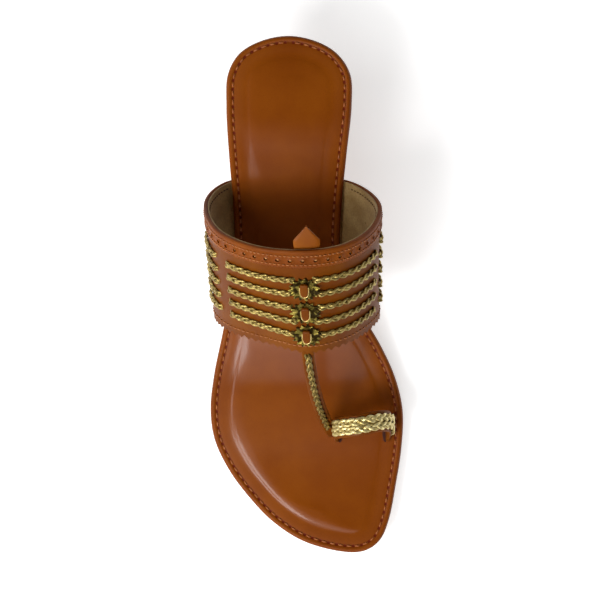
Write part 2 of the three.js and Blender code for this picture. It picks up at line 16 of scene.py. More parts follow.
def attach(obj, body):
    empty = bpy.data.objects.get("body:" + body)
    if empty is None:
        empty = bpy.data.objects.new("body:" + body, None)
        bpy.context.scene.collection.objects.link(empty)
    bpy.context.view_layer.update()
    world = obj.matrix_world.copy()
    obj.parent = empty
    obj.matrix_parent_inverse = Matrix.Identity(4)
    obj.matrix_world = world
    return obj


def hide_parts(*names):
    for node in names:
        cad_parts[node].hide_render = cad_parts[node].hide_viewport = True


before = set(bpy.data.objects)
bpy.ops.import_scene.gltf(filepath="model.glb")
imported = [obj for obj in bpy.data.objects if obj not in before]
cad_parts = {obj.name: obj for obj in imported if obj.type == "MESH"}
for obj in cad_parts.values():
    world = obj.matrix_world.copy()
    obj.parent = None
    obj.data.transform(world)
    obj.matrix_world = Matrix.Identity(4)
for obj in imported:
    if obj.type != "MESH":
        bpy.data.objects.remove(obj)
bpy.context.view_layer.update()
MM = 0.001
print("solids loaded:", len(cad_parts))

# %% [markdown]
# ## The last
# A shoe is built round a last, so its sizes come first. A "station" is a distance forward from the back of
# the heel, and "across" runs from the outer side (minus) to the inner side (plus). The footbed is a level
# heel seat, a smooth ramp through the waist and a toe that lifts a little off the floor.

# %% Sizes of the last
SOLE_LENGTH, ORIGIN_STATION = 236.0, 174.0
HEEL_RISE, RAMP_START, RAMP_END = 41.0, 35.0, 160.0
TOE_SPRING, SPRING_START = 6.0, 188.0
OUTSOLE_THICKNESS, INSOLE_THICKNESS, GAP = 3.6, 5.6, 0.3
STACK = OUTSOLE_THICKNESS + GAP + INSOLE_THICKNESS
BAR_BACK, BAR_FRONT, BAR_DEPTH = 129.0, 134.0, 0.8
TOE_LINE_BACK, TOE_LINE_FRONT, TOE_LINE_DEPTH = 220.5, 222.0, 0.4


def lerp(a, b, w):
    """a at w = 0, b at w = 1, and a straight line between."""
    return a + (b - a) * w


def smoothstep(value, low, high):
    """0 below low, 1 above high, and the cubic 3w^2 - 2w^3 between."""
    w = np.clip((value - low) / (high - low), 0, 1)
    return w * w * (3 - 2 * w)


def stacked(*parts):
    """Arrays stretched to one shape and put side by side as the last axis."""
    return np.stack(np.broadcast_arrays(*parts), axis=-1)


def place(station, across, height):
    """Points (x, y, z) from a station, a distance across and a height."""
    return stacked(across, ORIGIN_STATION - np.asarray(station), height)


def footbed(station):
    """Height of the insole's rim: stack, plus the ramp up to the heel, plus the toe spring squared."""
    ramp = 1 - smoothstep(station, RAMP_START, RAMP_END)
    spring = np.maximum(0, station - SPRING_START) / (SOLE_LENGTH - SPRING_START)
    return STACK + HEEL_RISE * ramp + TOE_SPRING * spring**2


print("heel seat stands", footbed(np.array(0.0)), "mm high")

# %% [markdown]
# ## Curves through listed points
# A centripetal Catmull-Rom curve passes through each of its points and never loops, so a few points are
# enough for the outline of a sole. Blender has no such curve, and the formula is four lines of numpy.


# %% Curve helpers
def between(p0, p1, p2, p3, w):
    """Cubic from p1 to p2; its slopes weigh the chords by the square root of their lengths."""

    def knot(a, b):
        return np.maximum(np.sqrt(np.linalg.norm(b - a, axis=-1, keepdims=True)), 1e-4)

    k0, k1, k2 = knot(p0, p1), knot(p1, p2), knot(p2, p3)
    leave = ((p1 - p0) / k0 - (p2 - p0) / (k0 + k1) + (p2 - p1) / k1) * k1
    arrive = ((p2 - p1) / k1 - (p3 - p1) / (k1 + k2) + (p3 - p2) / k2) * k1
    square = 3 * (p2 - p1) - 2 * leave - arrive
    cube = 2 * (p1 - p2) + leave + arrive
    return p1 + w * (leave + w * (square + w * cube))


def through(points, at, closed=False):
    """Points of the curve at parameters 0 to 1, each listed point an equal step of the parameter."""
    points = np.asarray(points, float)
    count = len(points)
    if closed:
        spot = np.asarray(at) % 1 * count
        index = spot.astype(int)
        ring = [points[(index + step) % count] for step in (-1, 0, 1, 2)]
        return between(*ring, (spot - index)[..., None])
    longer = np.vstack([2 * points[0] - points[1], points, 2 * points[-1] - points[-2]])
    spot = np.clip(at, 0, 1) * (count - 1)
    index = np.minimum(spot.astype(int), count - 2)
    return between(*[longer[index + step] for step in range(4)], (spot - index)[..., None])


def unit(vectors):
    """Vectors of length one."""
    return vectors / np.maximum(np.linalg.norm(vectors, axis=-1, keepdims=True), 1e-12)


def run_length(points):
    """Distance from the first point along a line of points."""
    steps = np.linalg.norm(np.diff(points, axis=0), axis=1)
    return np.concatenate([[0], np.cumsum(steps)])


def follow(line, far, at):
    """Places on a line whose points lie at distances far along it, straight between its points."""
    return np.stack([np.interp(at, far, line[:, axis]) for axis in range(3)], axis=-1)


def turns(sides):
    """Angles of equal steps round a circle, both ends included."""
    return np.linspace(0, 2 * np.pi, sides + 1)


def bulge(wave, power):
    """A sine or cosine raised to a power with its sign kept: a low power squares off an ellipse."""
    return np.sign(wave) * np.abs(wave) ** power


print("a quarter of the way round a corner:", through([(0, 0), (2, 0), (2, 2)], np.array(0.25)).round(2))

# %% [markdown]
# ## Grids into meshes
# Every new piece is a grid of points. Four neighbours make a quad, and rows or columns that fall together are
# welded afterwards, so poles and seams close. A closed piece is turned so that its volume is positive, which
# means that its faces point out. A thin sheet gets its wall from Solidify.

# %% Mesh helpers
WELD, SLIVER = 0.004, 0.002


def grid_quads(rows, columns, start, closed):
    """Quads between the neighbours of a grid; closed joins the last column to the first."""
    row = np.arange(rows - 1)[:, None] * columns + start
    column = np.arange(columns if closed else columns - 1)
    beside = (column + 1) % columns
    corners = row + column, row + beside, row + columns + beside, row + columns + column
    return np.stack(corners, axis=-1).reshape(-1, 4)


def join_grids(grids, closed):
    """Points and quads of several grids put into one mesh."""
    points, quads, start = [], [], 0
    for grid in grids:
        rows, columns = grid.shape[:2]
        points.append(grid.reshape(-1, 3))
        quads.append(grid_quads(rows, columns, start, closed))
        start += rows * columns
    return np.vstack(points), np.vstack(quads)


def signed_volume(points, quads):
    """A sixth of the sum of a . ((b - d) x c) over the quads, each as two triangles."""
    a, b, c, d = (points[quads[:, corner]] for corner in range(4))
    return (a * np.cross(b - d, c)).sum() / 6


def add_piece(name, grids, finish, replaces=(), crease=40, closed=False, wall=None, uv=None):
    """A piece of the sandal from grids: weld, smooth, finish, ride and replaced solids.

    With a wall it is an open sheet that already faces out, and the wall lies behind it."""
    points, quads = join_grids(grids, closed)
    if wall is None and signed_volume(points, quads) < 0:
        quads = quads[:, ::-1]
    mesh = bpy.data.meshes.new(name)
    mesh.vertices.add(len(points))
    mesh.vertices.foreach_set("co", (points * MM).astype(np.float32).ravel())
    mesh.loops.add(quads.size)
    mesh.loops.foreach_set("vertex_index", quads.astype(np.int32).ravel())
    mesh.polygons.add(len(quads))
    mesh.polygons.foreach_set("loop_start", np.arange(0, quads.size, 4, dtype=np.int32))
    mesh.update(calc_edges=True)
    if uv is not None:
        layer = mesh.uv_layers.new(name="surface_mm")
        layer.data.foreach_set("uv", uv[quads].astype(np.float32).ravel())
    welded = bmesh.new()
    welded.from_mesh(mesh)
    bmesh.ops.remove_doubles(welded, verts=welded.verts, dist=WELD * MM)
    bmesh.ops.dissolve_degenerate(welded, edges=welded.edges, dist=SLIVER * MM)
    welded.to_mesh(mesh)
    welded.free()
    mesh.polygons.foreach_set("use_smooth", np.ones(len(mesh.polygons), bool))
    mesh.set_sharp_from_angle(angle=np.radians(crease))
    mesh.materials.append(finish.material)
    piece = bpy.data.objects.new(name, mesh)
    bpy.context.collection.objects.link(piece)
    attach(piece, "root")
    if replaces:
        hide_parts(*replaces)
    if wall is not None:
        behind = piece.modifiers.new("wall", "SOLIDIFY")
        behind.thickness = wall * MM
        behind.offset = -1
    print(f"{name}: {len(mesh.polygons)} faces")
    return piece


def ringed(rings):
    """Rings as a grid with the first column repeated, so that its ends meet."""
    rings = np.asarray(rings)
    return np.concatenate([rings, rings[:, :1]], axis=1)


def capped(rings):
    """Rings of points, with each end ring drawn together to its middle so that the tube closes."""
    middle = rings.mean(axis=-2, keepdims=True) + 0 * rings
    return np.concatenate([middle[..., :1, :, :], rings, middle[..., -1:, :, :]], axis=-3)


def tube(centre, side, normal, wide, high):
    """A section carried along a path: each centre plus wide times its side plus high times its normal."""
    across, up = wide[..., None] * side[..., None, :], high[..., None] * normal[..., None, :]
    return centre[..., None, :] + across + up


print("a grid of 3 by 4 points has", len(grid_quads(3, 4, 0, False)), "quads")

# %% [markdown]
# ## Camera and light
# The camera hangs over the sandal, a little to its inner side. The main light is a soft box over the corner
# between toe and outer side. Two long narrow boxes, on the toe side and the outer side, draw the bright line
# along the cushion, and a dim sheet over the toe gives the sheen in front of the band. The world is pale at
# the horizon and dim above, because level leather seen from above mirrors what hangs over it.

# %% Camera
EYE, AIM = (45.0, 68.5, 820.0), (-1.5, 56.0, 26.0)
LENS_MM, SENSOR_MM = 104.0, 36

camera = bpy.data.objects.new("camera", bpy.data.cameras.new("camera"))
bpy.context.collection.objects.link(camera)
camera.data.lens, camera.data.sensor_width = LENS_MM, SENSOR_MM
forward = unit(np.subtract(AIM, EYE))
right = unit(np.cross(forward, (0, 1, 0)))
turned = np.eye(4)
turned[:3, :3] = np.column_stack([right, np.cross(right, forward), -forward])
turned[:3, 3] = np.multiply(EYE, MM)
camera.matrix_world = Matrix(turned.tolist())
bpy.context.scene.camera = camera
bpy.context.scene.view_settings.view_transform = "Standard"
print("camera to aim:", round(float(np.linalg.norm(np.subtract(AIM, EYE)))), "mm")

# %% Lights
SOFT_BOXES = {
    # name: place, aim, size in millimetres, power
    "corner_box": ((-520, -440, 900), (0, 40, 0), (400, 400), 7.2),
    "toe_box": ((-20, -700, 880), (0, 40, 0), (620, 160), 2.4),
    "side_box": ((-800, 60, 860), (0, 40, 0), (700, 200), 3.4),
    "toe_sheet": ((-60, -330, 800), (0, 30, 10), (560, 420), 1.3),
}
for name, (at, aim, size, power) in SOFT_BOXES.items():
    light = bpy.data.lights.new(name, "AREA")
    light.shape = "RECTANGLE"
    light.size, light.size_y = (length * MM for length in size)
    light.energy = power
    holder = bpy.data.objects.new(name, light)
    holder.location = Vector(at) * MM
    holder.rotation_euler = (Vector(aim) - Vector(at)).to_track_quat("-Z", "Y").to_euler()
    bpy.context.collection.objects.link(holder)
print("lights:", len(SOFT_BOXES))


# %% World
def grey(level):
    """A linear grey with no transparency."""
    return (level, level, level, 1.0)


WORLD_LEVELS = [(0.06, 0.85), (0.25, 0.03), (0.8, 0.02)]
world = bpy.data.worlds.new("studio")
bpy.context.scene.world = world
world.use_nodes = True
nodes, links = world.node_tree.nodes, world.node_tree.links
nodes["Background"].inputs["Color"].default_value = grey(1)
climb, ramp = nodes.new("ShaderNodeSeparateXYZ"), nodes.new("ShaderNodeValToRGB")
ramp.color_ramp.elements.new(0.5)
for stop, (height, level) in zip(ramp.color_ramp.elements, WORLD_LEVELS):
    stop.position, stop.color = height, grey(level)
links.new(nodes.new("ShaderNodeTexCoord").outputs["Generated"], climb.inputs[0])
links.new(climb.outputs["Z"], ramp.inputs[0])
links.new(ramp.outputs["Color"], nodes["Background"].inputs["Strength"])
print("world levels:", WORLD_LEVELS)

# %% [markdown]
# ## Shader arithmetic
# A finish is a small program. `Value` wraps a node's output so that ordinary Python arithmetic adds Math
# nodes, and `Finish.node` makes any other node from its type, its settings and its inputs. Patterns are read
# in millimetres, from Object coordinates or from a piece's own map of its surface.


# %% Value and Finish
def maths(operation, swapped=False):
    """A method that adds one Math node; swapped puts the other operand first, as 1 - mask needs it."""

    def method(self, other):
        first, second = (other, self) if swapped else (self, other)
        return self.finish.node("ShaderNodeMath", {"operation": operation}, {0: first, 1: second})

    return method


class Value:
    """A number or colour on the surface; arithmetic on it adds Math nodes."""

    def __init__(self, finish, socket):
        self.finish, self.socket = finish, socket

    __add__, __radd__ = maths("ADD"), maths("ADD", swapped=True)
    __sub__, __rsub__ = maths("SUBTRACT"), maths("SUBTRACT", swapped=True)
    __mul__, __rmul__ = maths("MULTIPLY"), maths("MULTIPLY", swapped=True)
    __truediv__, __mod__ = maths("DIVIDE"), maths("FLOORED_MODULO")


def shade(red, green, blue):
    """A screen colour from 0 to 255 as the linear colour that shaders take."""
    screen = np.array([red, green, blue]) / 255
    linear = np.where(screen <= 0.04045, screen / 12.92, ((screen + 0.055) / 1.055) ** 2.4)
    return (*(float(part) for part in linear), 1.0)


class Finish:
    """A material: a Principled shader with constants, and nodes that feed it."""

    def __init__(self, name, **constants):
        self.material = bpy.data.materials.new(name)
        self.material.use_nodes = True
        self.tree = self.material.node_tree
        self.tree.nodes.clear()
        self.shader = self.tree.nodes.new("ShaderNodeBsdfPrincipled")
        output = self.tree.nodes.new("ShaderNodeOutputMaterial")
        self.tree.links.new(self.shader.outputs[0], output.inputs[0])
        self.feed(**constants)

    def put(self, socket, value):
        if isinstance(value, Value):
            self.tree.links.new(value.socket, socket)
        else:
            socket.default_value = value

    def node(self, kind, settings=None, sockets=None, output=0):
        made = self.tree.nodes.new(kind)
        for setting, value in (settings or {}).items():
            setattr(made, setting, value)
        for socket, value in (sockets or {}).items():
            self.put(made.inputs[socket], value)
        return Value(self, made.outputs[output])

    def feed(self, **values):
        for socket, value in values.items():
            self.put(self.shader.inputs[socket.replace("_", " ").title().replace("Ior", "IOR")], value)

    @cached_property
    def here(self):
        """Object coordinates in millimetres."""
        metres = self.node("ShaderNodeTexCoord", output="Object")
        return self.node("ShaderNodeVectorMath", {"operation": "SCALE"}, {0: metres, "Scale": 1 / MM})

    @cached_property
    def along_foot(self):
        """Object Y in millimetres: it grows from the toe to the heel."""
        return self.node("ShaderNodeSeparateXYZ", sockets={0: self.here}, output="Y")

    @cached_property
    def surface(self):
        """The piece's own map: millimetres along it and across it."""
        pair = self.node("ShaderNodeUVMap", {"uv_map": "surface_mm"})
        split = self.node("ShaderNodeSeparateXYZ", sockets={0: pair})
        return split, Value(self, split.socket.node.outputs[1])

    def noise(self, size, detail=3.0, stretch=(1, 1, 1)):
        """Cloudy noise whose lumps are about size millimetres wide, 0 to 1 about 0.5."""
        where = self.node("ShaderNodeVectorMath", {"operation": "MULTIPLY"}, {0: self.here, 1: stretch})
        return self.node("ShaderNodeTexNoise", sockets={"Vector": where, "Scale": 1 / size, "Detail": detail})

    def cells(self, size):
        """Distance to the nearest of scattered points about size millimetres apart: a pebbled grain."""
        sockets = {"Vector": self.here, "Scale": 1 / size}
        return self.node("ShaderNodeTexVoronoi", {"feature": "SMOOTH_F1"}, sockets)

    def step(self, value, low, high, start=0.0, end=1.0):
        """start below low, end above high, and a smooth step between."""
        sockets = {0: value, 1: low, 2: high, 3: start, 4: end}
        return self.node("ShaderNodeMapRange", {"interpolation_type": "SMOOTHSTEP"}, sockets)

    def window(self, value, rise, fall):
        """1 between two spans and 0 outside: a smooth step up over one, times a step down over the other."""
        return self.step(value, *rise) * self.step(value, *fall, 1.0, 0.0)

    def mix(self, factor, first, second):
        """One colour where the factor is 0, another where it is 1; a plain triple is a screen colour."""

        def linear(colour):
            return shade(*colour) if isinstance(colour, tuple) and len(colour) == 3 else colour

        sockets = {0: factor, 6: linear(first), 7: linear(second)}
        return self.node("ShaderNodeMix", {"data_type": "RGBA"}, sockets, output=2)

    def bump(self, height, distance, strength):
        """Normals of a relief whose height is given in shares of a distance in millimetres."""
        sockets = {"Height": height, "Distance": distance * MM, "Strength": strength}
        return self.node("ShaderNodeBump", sockets=sockets)


print("mid grey on a screen is", round(shade(128, 128, 128)[0], 3), "in linear light")

# %% [markdown]
# ## Floor
# The sandal stands on a wide pale sheet. A plain white sheet would turn grey in the distance. This one glows
# a little, more so far away, so that it stays white up to the horizon and still takes a soft shadow.

# %% Floor
FLOOR_HALF, GLOW_NEAR, GLOW_FAR = 12000, 500, 3000
pale_floor = Finish("pale_floor", roughness=0.9, emission_strength=1.0)
from_shoe = pale_floor.node(
    "ShaderNodeVectorMath", {"operation": "LENGTH"}, {0: pale_floor.here}, output="Value"
)
glow = pale_floor.step(from_shoe, GLOW_NEAR, GLOW_FAR)
pale_floor.feed(
    base_color=pale_floor.mix(pale_floor.noise(90), grey(0.86), grey(0.9)),
    emission_color=pale_floor.mix(glow, grey(0.62), grey(0.7)),
)
corners = np.array([[-1, -1, 0], [1, -1, 0], [1, 1, 0], [-1, 1, 0]]) * FLOOR_HALF * MM
floor_mesh = bpy.data.meshes.new("floor")
floor_mesh.from_pydata(corners.tolist(), [], [(0, 1, 2, 3)])
floor_mesh.materials.append(pale_floor.material)
floor = bpy.data.objects.new("floor", floor_mesh)
bpy.context.collection.objects.link(floor)
print("floor laid")

# %% [markdown]
# ## Finishes
# Tan leather is dyed, so its colour drifts softly; a fine pebbled grain breaks its gloss. The insole has the
# same hide under a glossy coat. The plaits are metallic yarn, the rosettes gold foil, the bottom a moulded
# brown resin. Pictures of leather could be laid on too, but noise and smooth steps fit any size and piece.


# %% Leathers
def tan_leather(name, base, deep, gloss):
    """Dyed leather: two tans mixed by soft clouds, pebbled grain as relief, gloss broken by the grain."""
    leather = Finish(name, coat_roughness=0.35, specular_ior_level=0.08)
    clouds = leather.step(leather.noise(14), 0.32, 0.7)
    fine = leather.noise(0.5, 2)
    colour = leather.mix(clouds, base, deep)
    leather.feed(
        base_color=leather.mix(leather.step(fine, 0.3, 0.75, 0.0, 0.22), colour, deep),
        roughness=gloss + 0.12 * fine,
        coat_weight=0.03 + 0.05 * clouds,
        normal=leather.bump(0.6 * leather.cells(0.7) + 0.4 * fine, 0.05, 0.5),
    )
    return leather


band_leather = tan_leather("tan_leather", (123, 66, 7), (109, 53, 3), 0.42)
strip_leather = tan_leather("collar_leather", (134, 68, 11), (118, 56, 6), 0.42)
tab_leather = tan_leather("tab_leather", (152, 84, 18), (138, 72, 12), 0.42)
heel_leather = tan_leather("heel_leather", (138, 72, 15), (128, 64, 10), 0.34)


def suede_lining():
    """Beige suede: a short nap that drifts in brightness, with no gloss."""
    suede = Finish("suede_lining", sheen_weight=0.25, specular_ior_level=0.2)
    nap = suede.noise(0.8, 4)
    colour = suede.mix(suede.step(suede.noise(9), 0.3, 0.7), (180, 148, 94), (154, 122, 72))
    suede.feed(
        base_color=suede.mix(suede.step(nap, 0.35, 0.7, 0.0, 0.35), colour, (112, 84, 44)),
        roughness=0.82 + 0.15 * nap,
        normal=suede.bump(nap, 0.15, 0.5),
    )
    return suede


lining_suede = suede_lining()
print("leathers:", len(bpy.data.materials) - 1)

# %% Insole leather
RIM_INSET, STITCH_INSET, STITCH_PITCH = 1.7, 3.2, 3.9
SLOPE_UP, SLOPE_DOWN = (78, 98), (118, 138)


def insole_leather():
    """Glossy leather: soft clouds, and painted shade on the wrapped edge, along the stitch groove and in a
    needle hole between every two stitches.

    Its polish starts inside the stitches, and it is dull on the slope behind the band."""
    leather = Finish("insole_leather", coat_roughness=0.16, specular_ior_level=0.1)
    along, inset = leather.surface
    clouds = leather.step(leather.noise(22), 0.3, 0.72)
    pores = leather.noise(0.6, 2)
    colour = leather.mix(clouds, (141, 71, 9), (130, 62, 6))
    colour = leather.mix(leather.step(pores, 0.45, 0.8, 0.0, 0.2), colour, (104, 46, 8))
    # Painted shade: the wrapped edge and the underside are darkened where the edge turns down.
    colour = leather.mix(0.65 * leather.step(inset, -1.0, 0.9, 1.0, 0.0), colour, (86, 40, 8))
    from_stitch = inset - STITCH_INSET
    dip = leather.window(from_stitch, (-0.9, -0.3), (0.3, 0.9))
    hole = dip * leather.window(along % STITCH_PITCH, (0.15, 0.5), (1.35, 1.7))
    # Painted shade along the stitch groove.
    colour = leather.mix(0.35 * dip, colour, (92, 38, 6))
    polish = leather.step(inset, 6.0, 9.0, 0.12, 1.0) * (1 - dip)
    slope = leather.window(leather.along_foot, SLOPE_UP, SLOPE_DOWN)
    leather.feed(
        # Painted shade in each needle hole.
        base_color=leather.mix(0.9 * hole, colour, (98, 26, 8)),
        roughness=0.48 + 0.08 * pores - 0.19 * polish + 0.36 * slope,
        coat_weight=(0.26 + 0.04 * clouds) * polish * (1 - 0.8 * slope),
        normal=leather.bump(0.5 * leather.cells(0.8) + 0.5 * pores - 3 * hole, 0.03, 0.35),
    )
    return leather


insole_hide = insole_leather()
print("insole leather has", len(insole_hide.tree.nodes), "nodes")


# %% Gold
def gold_plait(name, pale, olive):
    """Metallic yarn: fine filaments along each strand, drifting from a pale gold to an olive one."""
    gold = Finish(name, metallic=0.6)
    along, around = gold.surface
    filament = gold.window((around * 1.6 + along * 0.5) % 1.0, (0.0, 0.5), (0.5, 1.0))
    patch = gold.noise(1.6, 3)
    colour = gold.mix(gold.step(patch, 0.32, 0.7), pale, olive)
    gold.feed(
        base_color=gold.mix(0.28 - 0.28 * filament, colour, (118, 86, 34)),
        roughness=0.3 + 0.14 * patch,
        normal=gold.bump(filament, 0.06, 0.4),
    )
    return gold


def gold_foil():
    """Foil over leather, creased in small facets: olive brass darkened as painted shade of foil that mirrors
    dark surroundings, with bright patches as painted highlights.
    """
    foil = Finish("gold_foil", metallic=0.92)
    patch = foil.noise(2.2, 3)
    foil.feed(
        # Dark olive is painted shade; the bright patches are painted highlights.
        base_color=foil.mix(foil.step(patch, 0.36, 0.56), (190, 170, 80), (60, 46, 14)),
        roughness=0.22 + 0.2 * patch,
        normal=foil.bump(foil.cells(1.7), 0.3, 0.45),
    )
    return foil


plait_gold = gold_plait("gold_plait", (200, 178, 102), (114, 92, 36))
# Lit and shaded copies of the same yarn: the ring's paler gold is painted light, the strap's darker gold
# painted shade.
ring_gold_painted_light = gold_plait("ring_gold_painted_light", (250, 234, 168), (186, 162, 90))
strap_gold_painted_shade = gold_plait("strap_gold_painted_shade", (158, 136, 70), (100, 80, 30))
rosette_foil = gold_foil()
print("golds: band, ring, strap and rosette")

# %% Bottom and small finishes
SOLE_RIB, RIB_FADE = 1.4, 1.0


def sole_resin():
    """Moulded sheet: brown with faint streaks across the foot, fine ribs under the ball and a paler waist."""
    resin = Finish("sole_resin")
    streak = resin.noise(1.0, 3, stretch=(0.07, 1.3, 0.3))
    waist = resin.step(resin.along_foot, ORIGIN_STATION - BAR_FRONT, ORIGIN_STATION - BAR_BACK)
    toe_line = ORIGIN_STATION - TOE_LINE_BACK
    ribbed = resin.step(resin.along_foot, toe_line - RIB_FADE, toe_line) * (1 - waist)
    rib = ribbed * resin.window(resin.along_foot % SOLE_RIB / SOLE_RIB, (0.0, 0.4), (0.6, 1.0))
    colour = resin.mix(waist, (128, 89, 44), (148, 106, 63))
    resin.feed(
        base_color=resin.mix(resin.step(streak, 0.4, 0.66, 0.0, 0.3), colour, (150, 110, 66)),
        roughness=0.42 + 0.16 * streak,
        normal=resin.bump(0.4 * streak + rib, 0.2, 0.5),
    )
    return resin


def plain_finish(name, light, dark, roughness, grain):
    """Two close colours mixed by noise, with a grain of the given size in millimetres."""
    plain = Finish(name)
    fine = plain.noise(grain, 3)
    plain.feed(
        base_color=plain.mix(plain.step(plain.noise(grain * 6), 0.3, 0.7), light, dark),
        roughness=roughness + 0.15 * fine,
        normal=plain.bump(fine, 0.06, 0.5),
    )
    return plain


bottom_resin = sole_resin()
lift_rubber = plain_finish("lift_rubber", (164, 120, 60), (156, 112, 54), 0.5, 0.8)
rim_gold = plain_finish("rim_gold", (252, 226, 150), (226, 190, 100), 0.25, 0.4)
rim_gold.feed(metallic=0.75)
insole_thread = plain_finish("insole_thread", (170, 94, 38), (146, 74, 26), 0.5, 0.25)
tan_thread = plain_finish("tan_thread", (176, 106, 46), (150, 82, 30), 0.5, 0.25)
lining_thread = plain_finish("lining_thread", (104, 76, 40), (84, 58, 28), 0.7, 0.25)
# Painted shade for the slits where strap and ring go down into the insole.
slit_painted_shade = plain_finish("slit_painted_shade", (72, 26, 6), (50, 16, 4), 0.8, 0.5)
# Painted light: pale discs behind the holes, paler than the band leather under them.
hole_back = plain_finish("hole_back", (216, 152, 92), (190, 124, 68), 0.7, 0.6)
print("finishes:", len(bpy.data.materials))

# %% [markdown]
# ## The outline of the sole
# One closed curve is the edge of insole and outsole. Both sides are sampled at the same stations, so a line
# can be drawn straight across the foot from any point of the outer edge to its partner on the inner edge.

# %% Outline
HEEL_BACK, TOE_TIP = (-5.6, 0.0), (21.5, SOLE_LENGTH)
OUTER_EDGE = [
    (-18.3, 2.4), (-27.6, 8), (-32.5, 17), (-33.2, 31), (-32.2, 53), (-31.1, 75), (-31.4, 95), (-34.3, 115),
    (-39, 135), (-43.1, 153), (-44.9, 170), (-43, 184), (-36.4, 198), (-26.6, 211), (-14.7, 222.7),
    (0.5, 231.6),
]
INNER_EDGE = [
    (6.8, 2.4), (16.3, 8), (22.1, 17), (22.8, 31), (20.4, 53), (18, 75), (17.1, 95), (19.9, 110), (27, 125),
    (35.6, 140), (42.2, 155), (45.6, 170), (45.1, 187), (42.4, 205), (39.2, 221), (35.3, 230), (29.5, 234.6),
]
DENSE, SECTIONS, HAIR = 6000, 250, 1e-4
outline = [HEEL_BACK, *OUTER_EDGE, TOE_TIP, *INNER_EDGE[::-1]]
toe_parameter = (len(OUTER_EDGE) + 1) / len(outline)
side_runs = {side: np.linspace(start, toe_parameter, DENSE) for side, start in (("outer", 0), ("inner", 1))}
side_points = {side: through(outline, run, closed=True) for side, run in side_runs.items()}


def edge_across(side, station):
    """Distance across of the sole's edge on one side at a station."""
    return np.interp(station, side_points[side][:, 1], side_points[side][:, 0])


swing = SOLE_LENGTH * (1 - np.cos(np.linspace(0, np.pi, SECTIONS + 1))) / 2
stations = np.union1d(swing, [BAR_BACK, BAR_FRONT, TOE_LINE_BACK, TOE_LINE_FRONT])
outer_run, inner_run = (np.interp(stations, side_points[side][:, 1], side_runs[side]) for side in side_runs)
rim_run = np.concatenate([outer_run, inner_run[::-1]])
rim = through(outline, rim_run, closed=True)
rim_tangent = unit(through(outline, rim_run + HAIR, True) - through(outline, rim_run - HAIR, True))
rim_inward = np.stack([rim_tangent[:, 1], -rim_tangent[:, 0]], axis=1)


def rim_ring(inset, height, rise=0.0):
    """The outline moved inwards by an inset, at a height that is a function of the station, plus a rise."""
    flat = rim + inset * rim_inward
    return place(flat[:, 1], flat[:, 0], height(flat[:, 1]) + rise)


def across_patch(ring, columns=2):
    """Lines straight across from each point of a ring's outer half to its partner on the inner half."""
    half = len(ring) // 2
    return lerp(ring[:half, None], ring[half:][::-1, None], np.linspace(0, 1, columns)[:, None])


stitch_line = rim_ring(STITCH_INSET, footbed)
rim_length = run_length(np.vstack([stitch_line, stitch_line[:1]]))
print("stitch line is", round(float(rim_length[-1])), "mm long")

# %% [markdown]
# ## Outsole
# The outsole is a moulded sheet. Its walking face has a step across the foot behind the ball and a smooth toe
# tip. Rings round the edge make the wall and its bevel, and lines across the foot make the two faces, so the
# steps stay sharp.

# %% Outsole
OUTSOLE_INSET, OUTSOLE_BEVEL, TOP_EASE = 1.2, 0.8, 0.3


def tread(station):
    """Height of the walking face: the footbed less the stack, stepped up behind the bar and at the toe."""
    bar = 1 - np.clip((station - BAR_BACK) / (BAR_FRONT - BAR_BACK), 0, 1)
    toe = np.clip((station - TOE_LINE_BACK) / (TOE_LINE_FRONT - TOE_LINE_BACK), 0, 1)
    return footbed(station) - STACK + BAR_DEPTH * bar + TOE_LINE_DEPTH * toe


def outsole_top(station):
    """Height of the joint with the insole."""
    return footbed(station) - INSOLE_THICKNESS - GAP


outsole_rings = [
    rim_ring(OUTSOLE_INSET + OUTSOLE_BEVEL * (1 - np.sin(turn)), tread, OUTSOLE_BEVEL * (1 - np.cos(turn)))
    for turn in np.radians([0, 30, 60, 90])
]
outsole_rings.append(rim_ring(OUTSOLE_INSET, outsole_top, -TOP_EASE))
outsole_rings.append(rim_ring(OUTSOLE_INSET + TOP_EASE, outsole_top))
faces = across_patch(outsole_rings[0]), across_patch(outsole_rings[-1])[:, ::-1]
add_piece("sole_sheet", [ringed(outsole_rings), *faces], bottom_resin, ["outsole"], crease=25)

# %% [markdown]
# ## Heel block and top lift
# The block is wrapped in tan leather: a rounded back, straight sides and a flat breast, a little wider at the
# seat than at the floor. The top lift under it is rubber with fine ribs across. Both are outlines stacked in
# height, because a heel is drawn by its outline at the seat and at the floor.

# %% Heel
HEEL_AXIS, HEEL_BACK_DEPTH, HEEL_ROUNDNESS, HEEL_CORNER = -5.0, 24.0, 2.3, 2.5
HEEL_BEND, HEEL_STRAIGHT, HEEL_RINGS = np.linspace(np.pi / 2, 0, 40), 60, 22
LIFT_THICKNESS, LIFT_BEVEL, LIFT_EASE, LIFT_RIM = 6.0, 0.7, 0.4, 2.6
HEEL_LEVELS = np.array([
    # share of the height, half width, back station, breast station
    (0, 20.3, 9, 54),
    (0.35, 20.9, 8.7, 54.4),
    (0.7, 22, 8.2, 55.6),
    (1, 23.4, 7.6, 57.6),
])


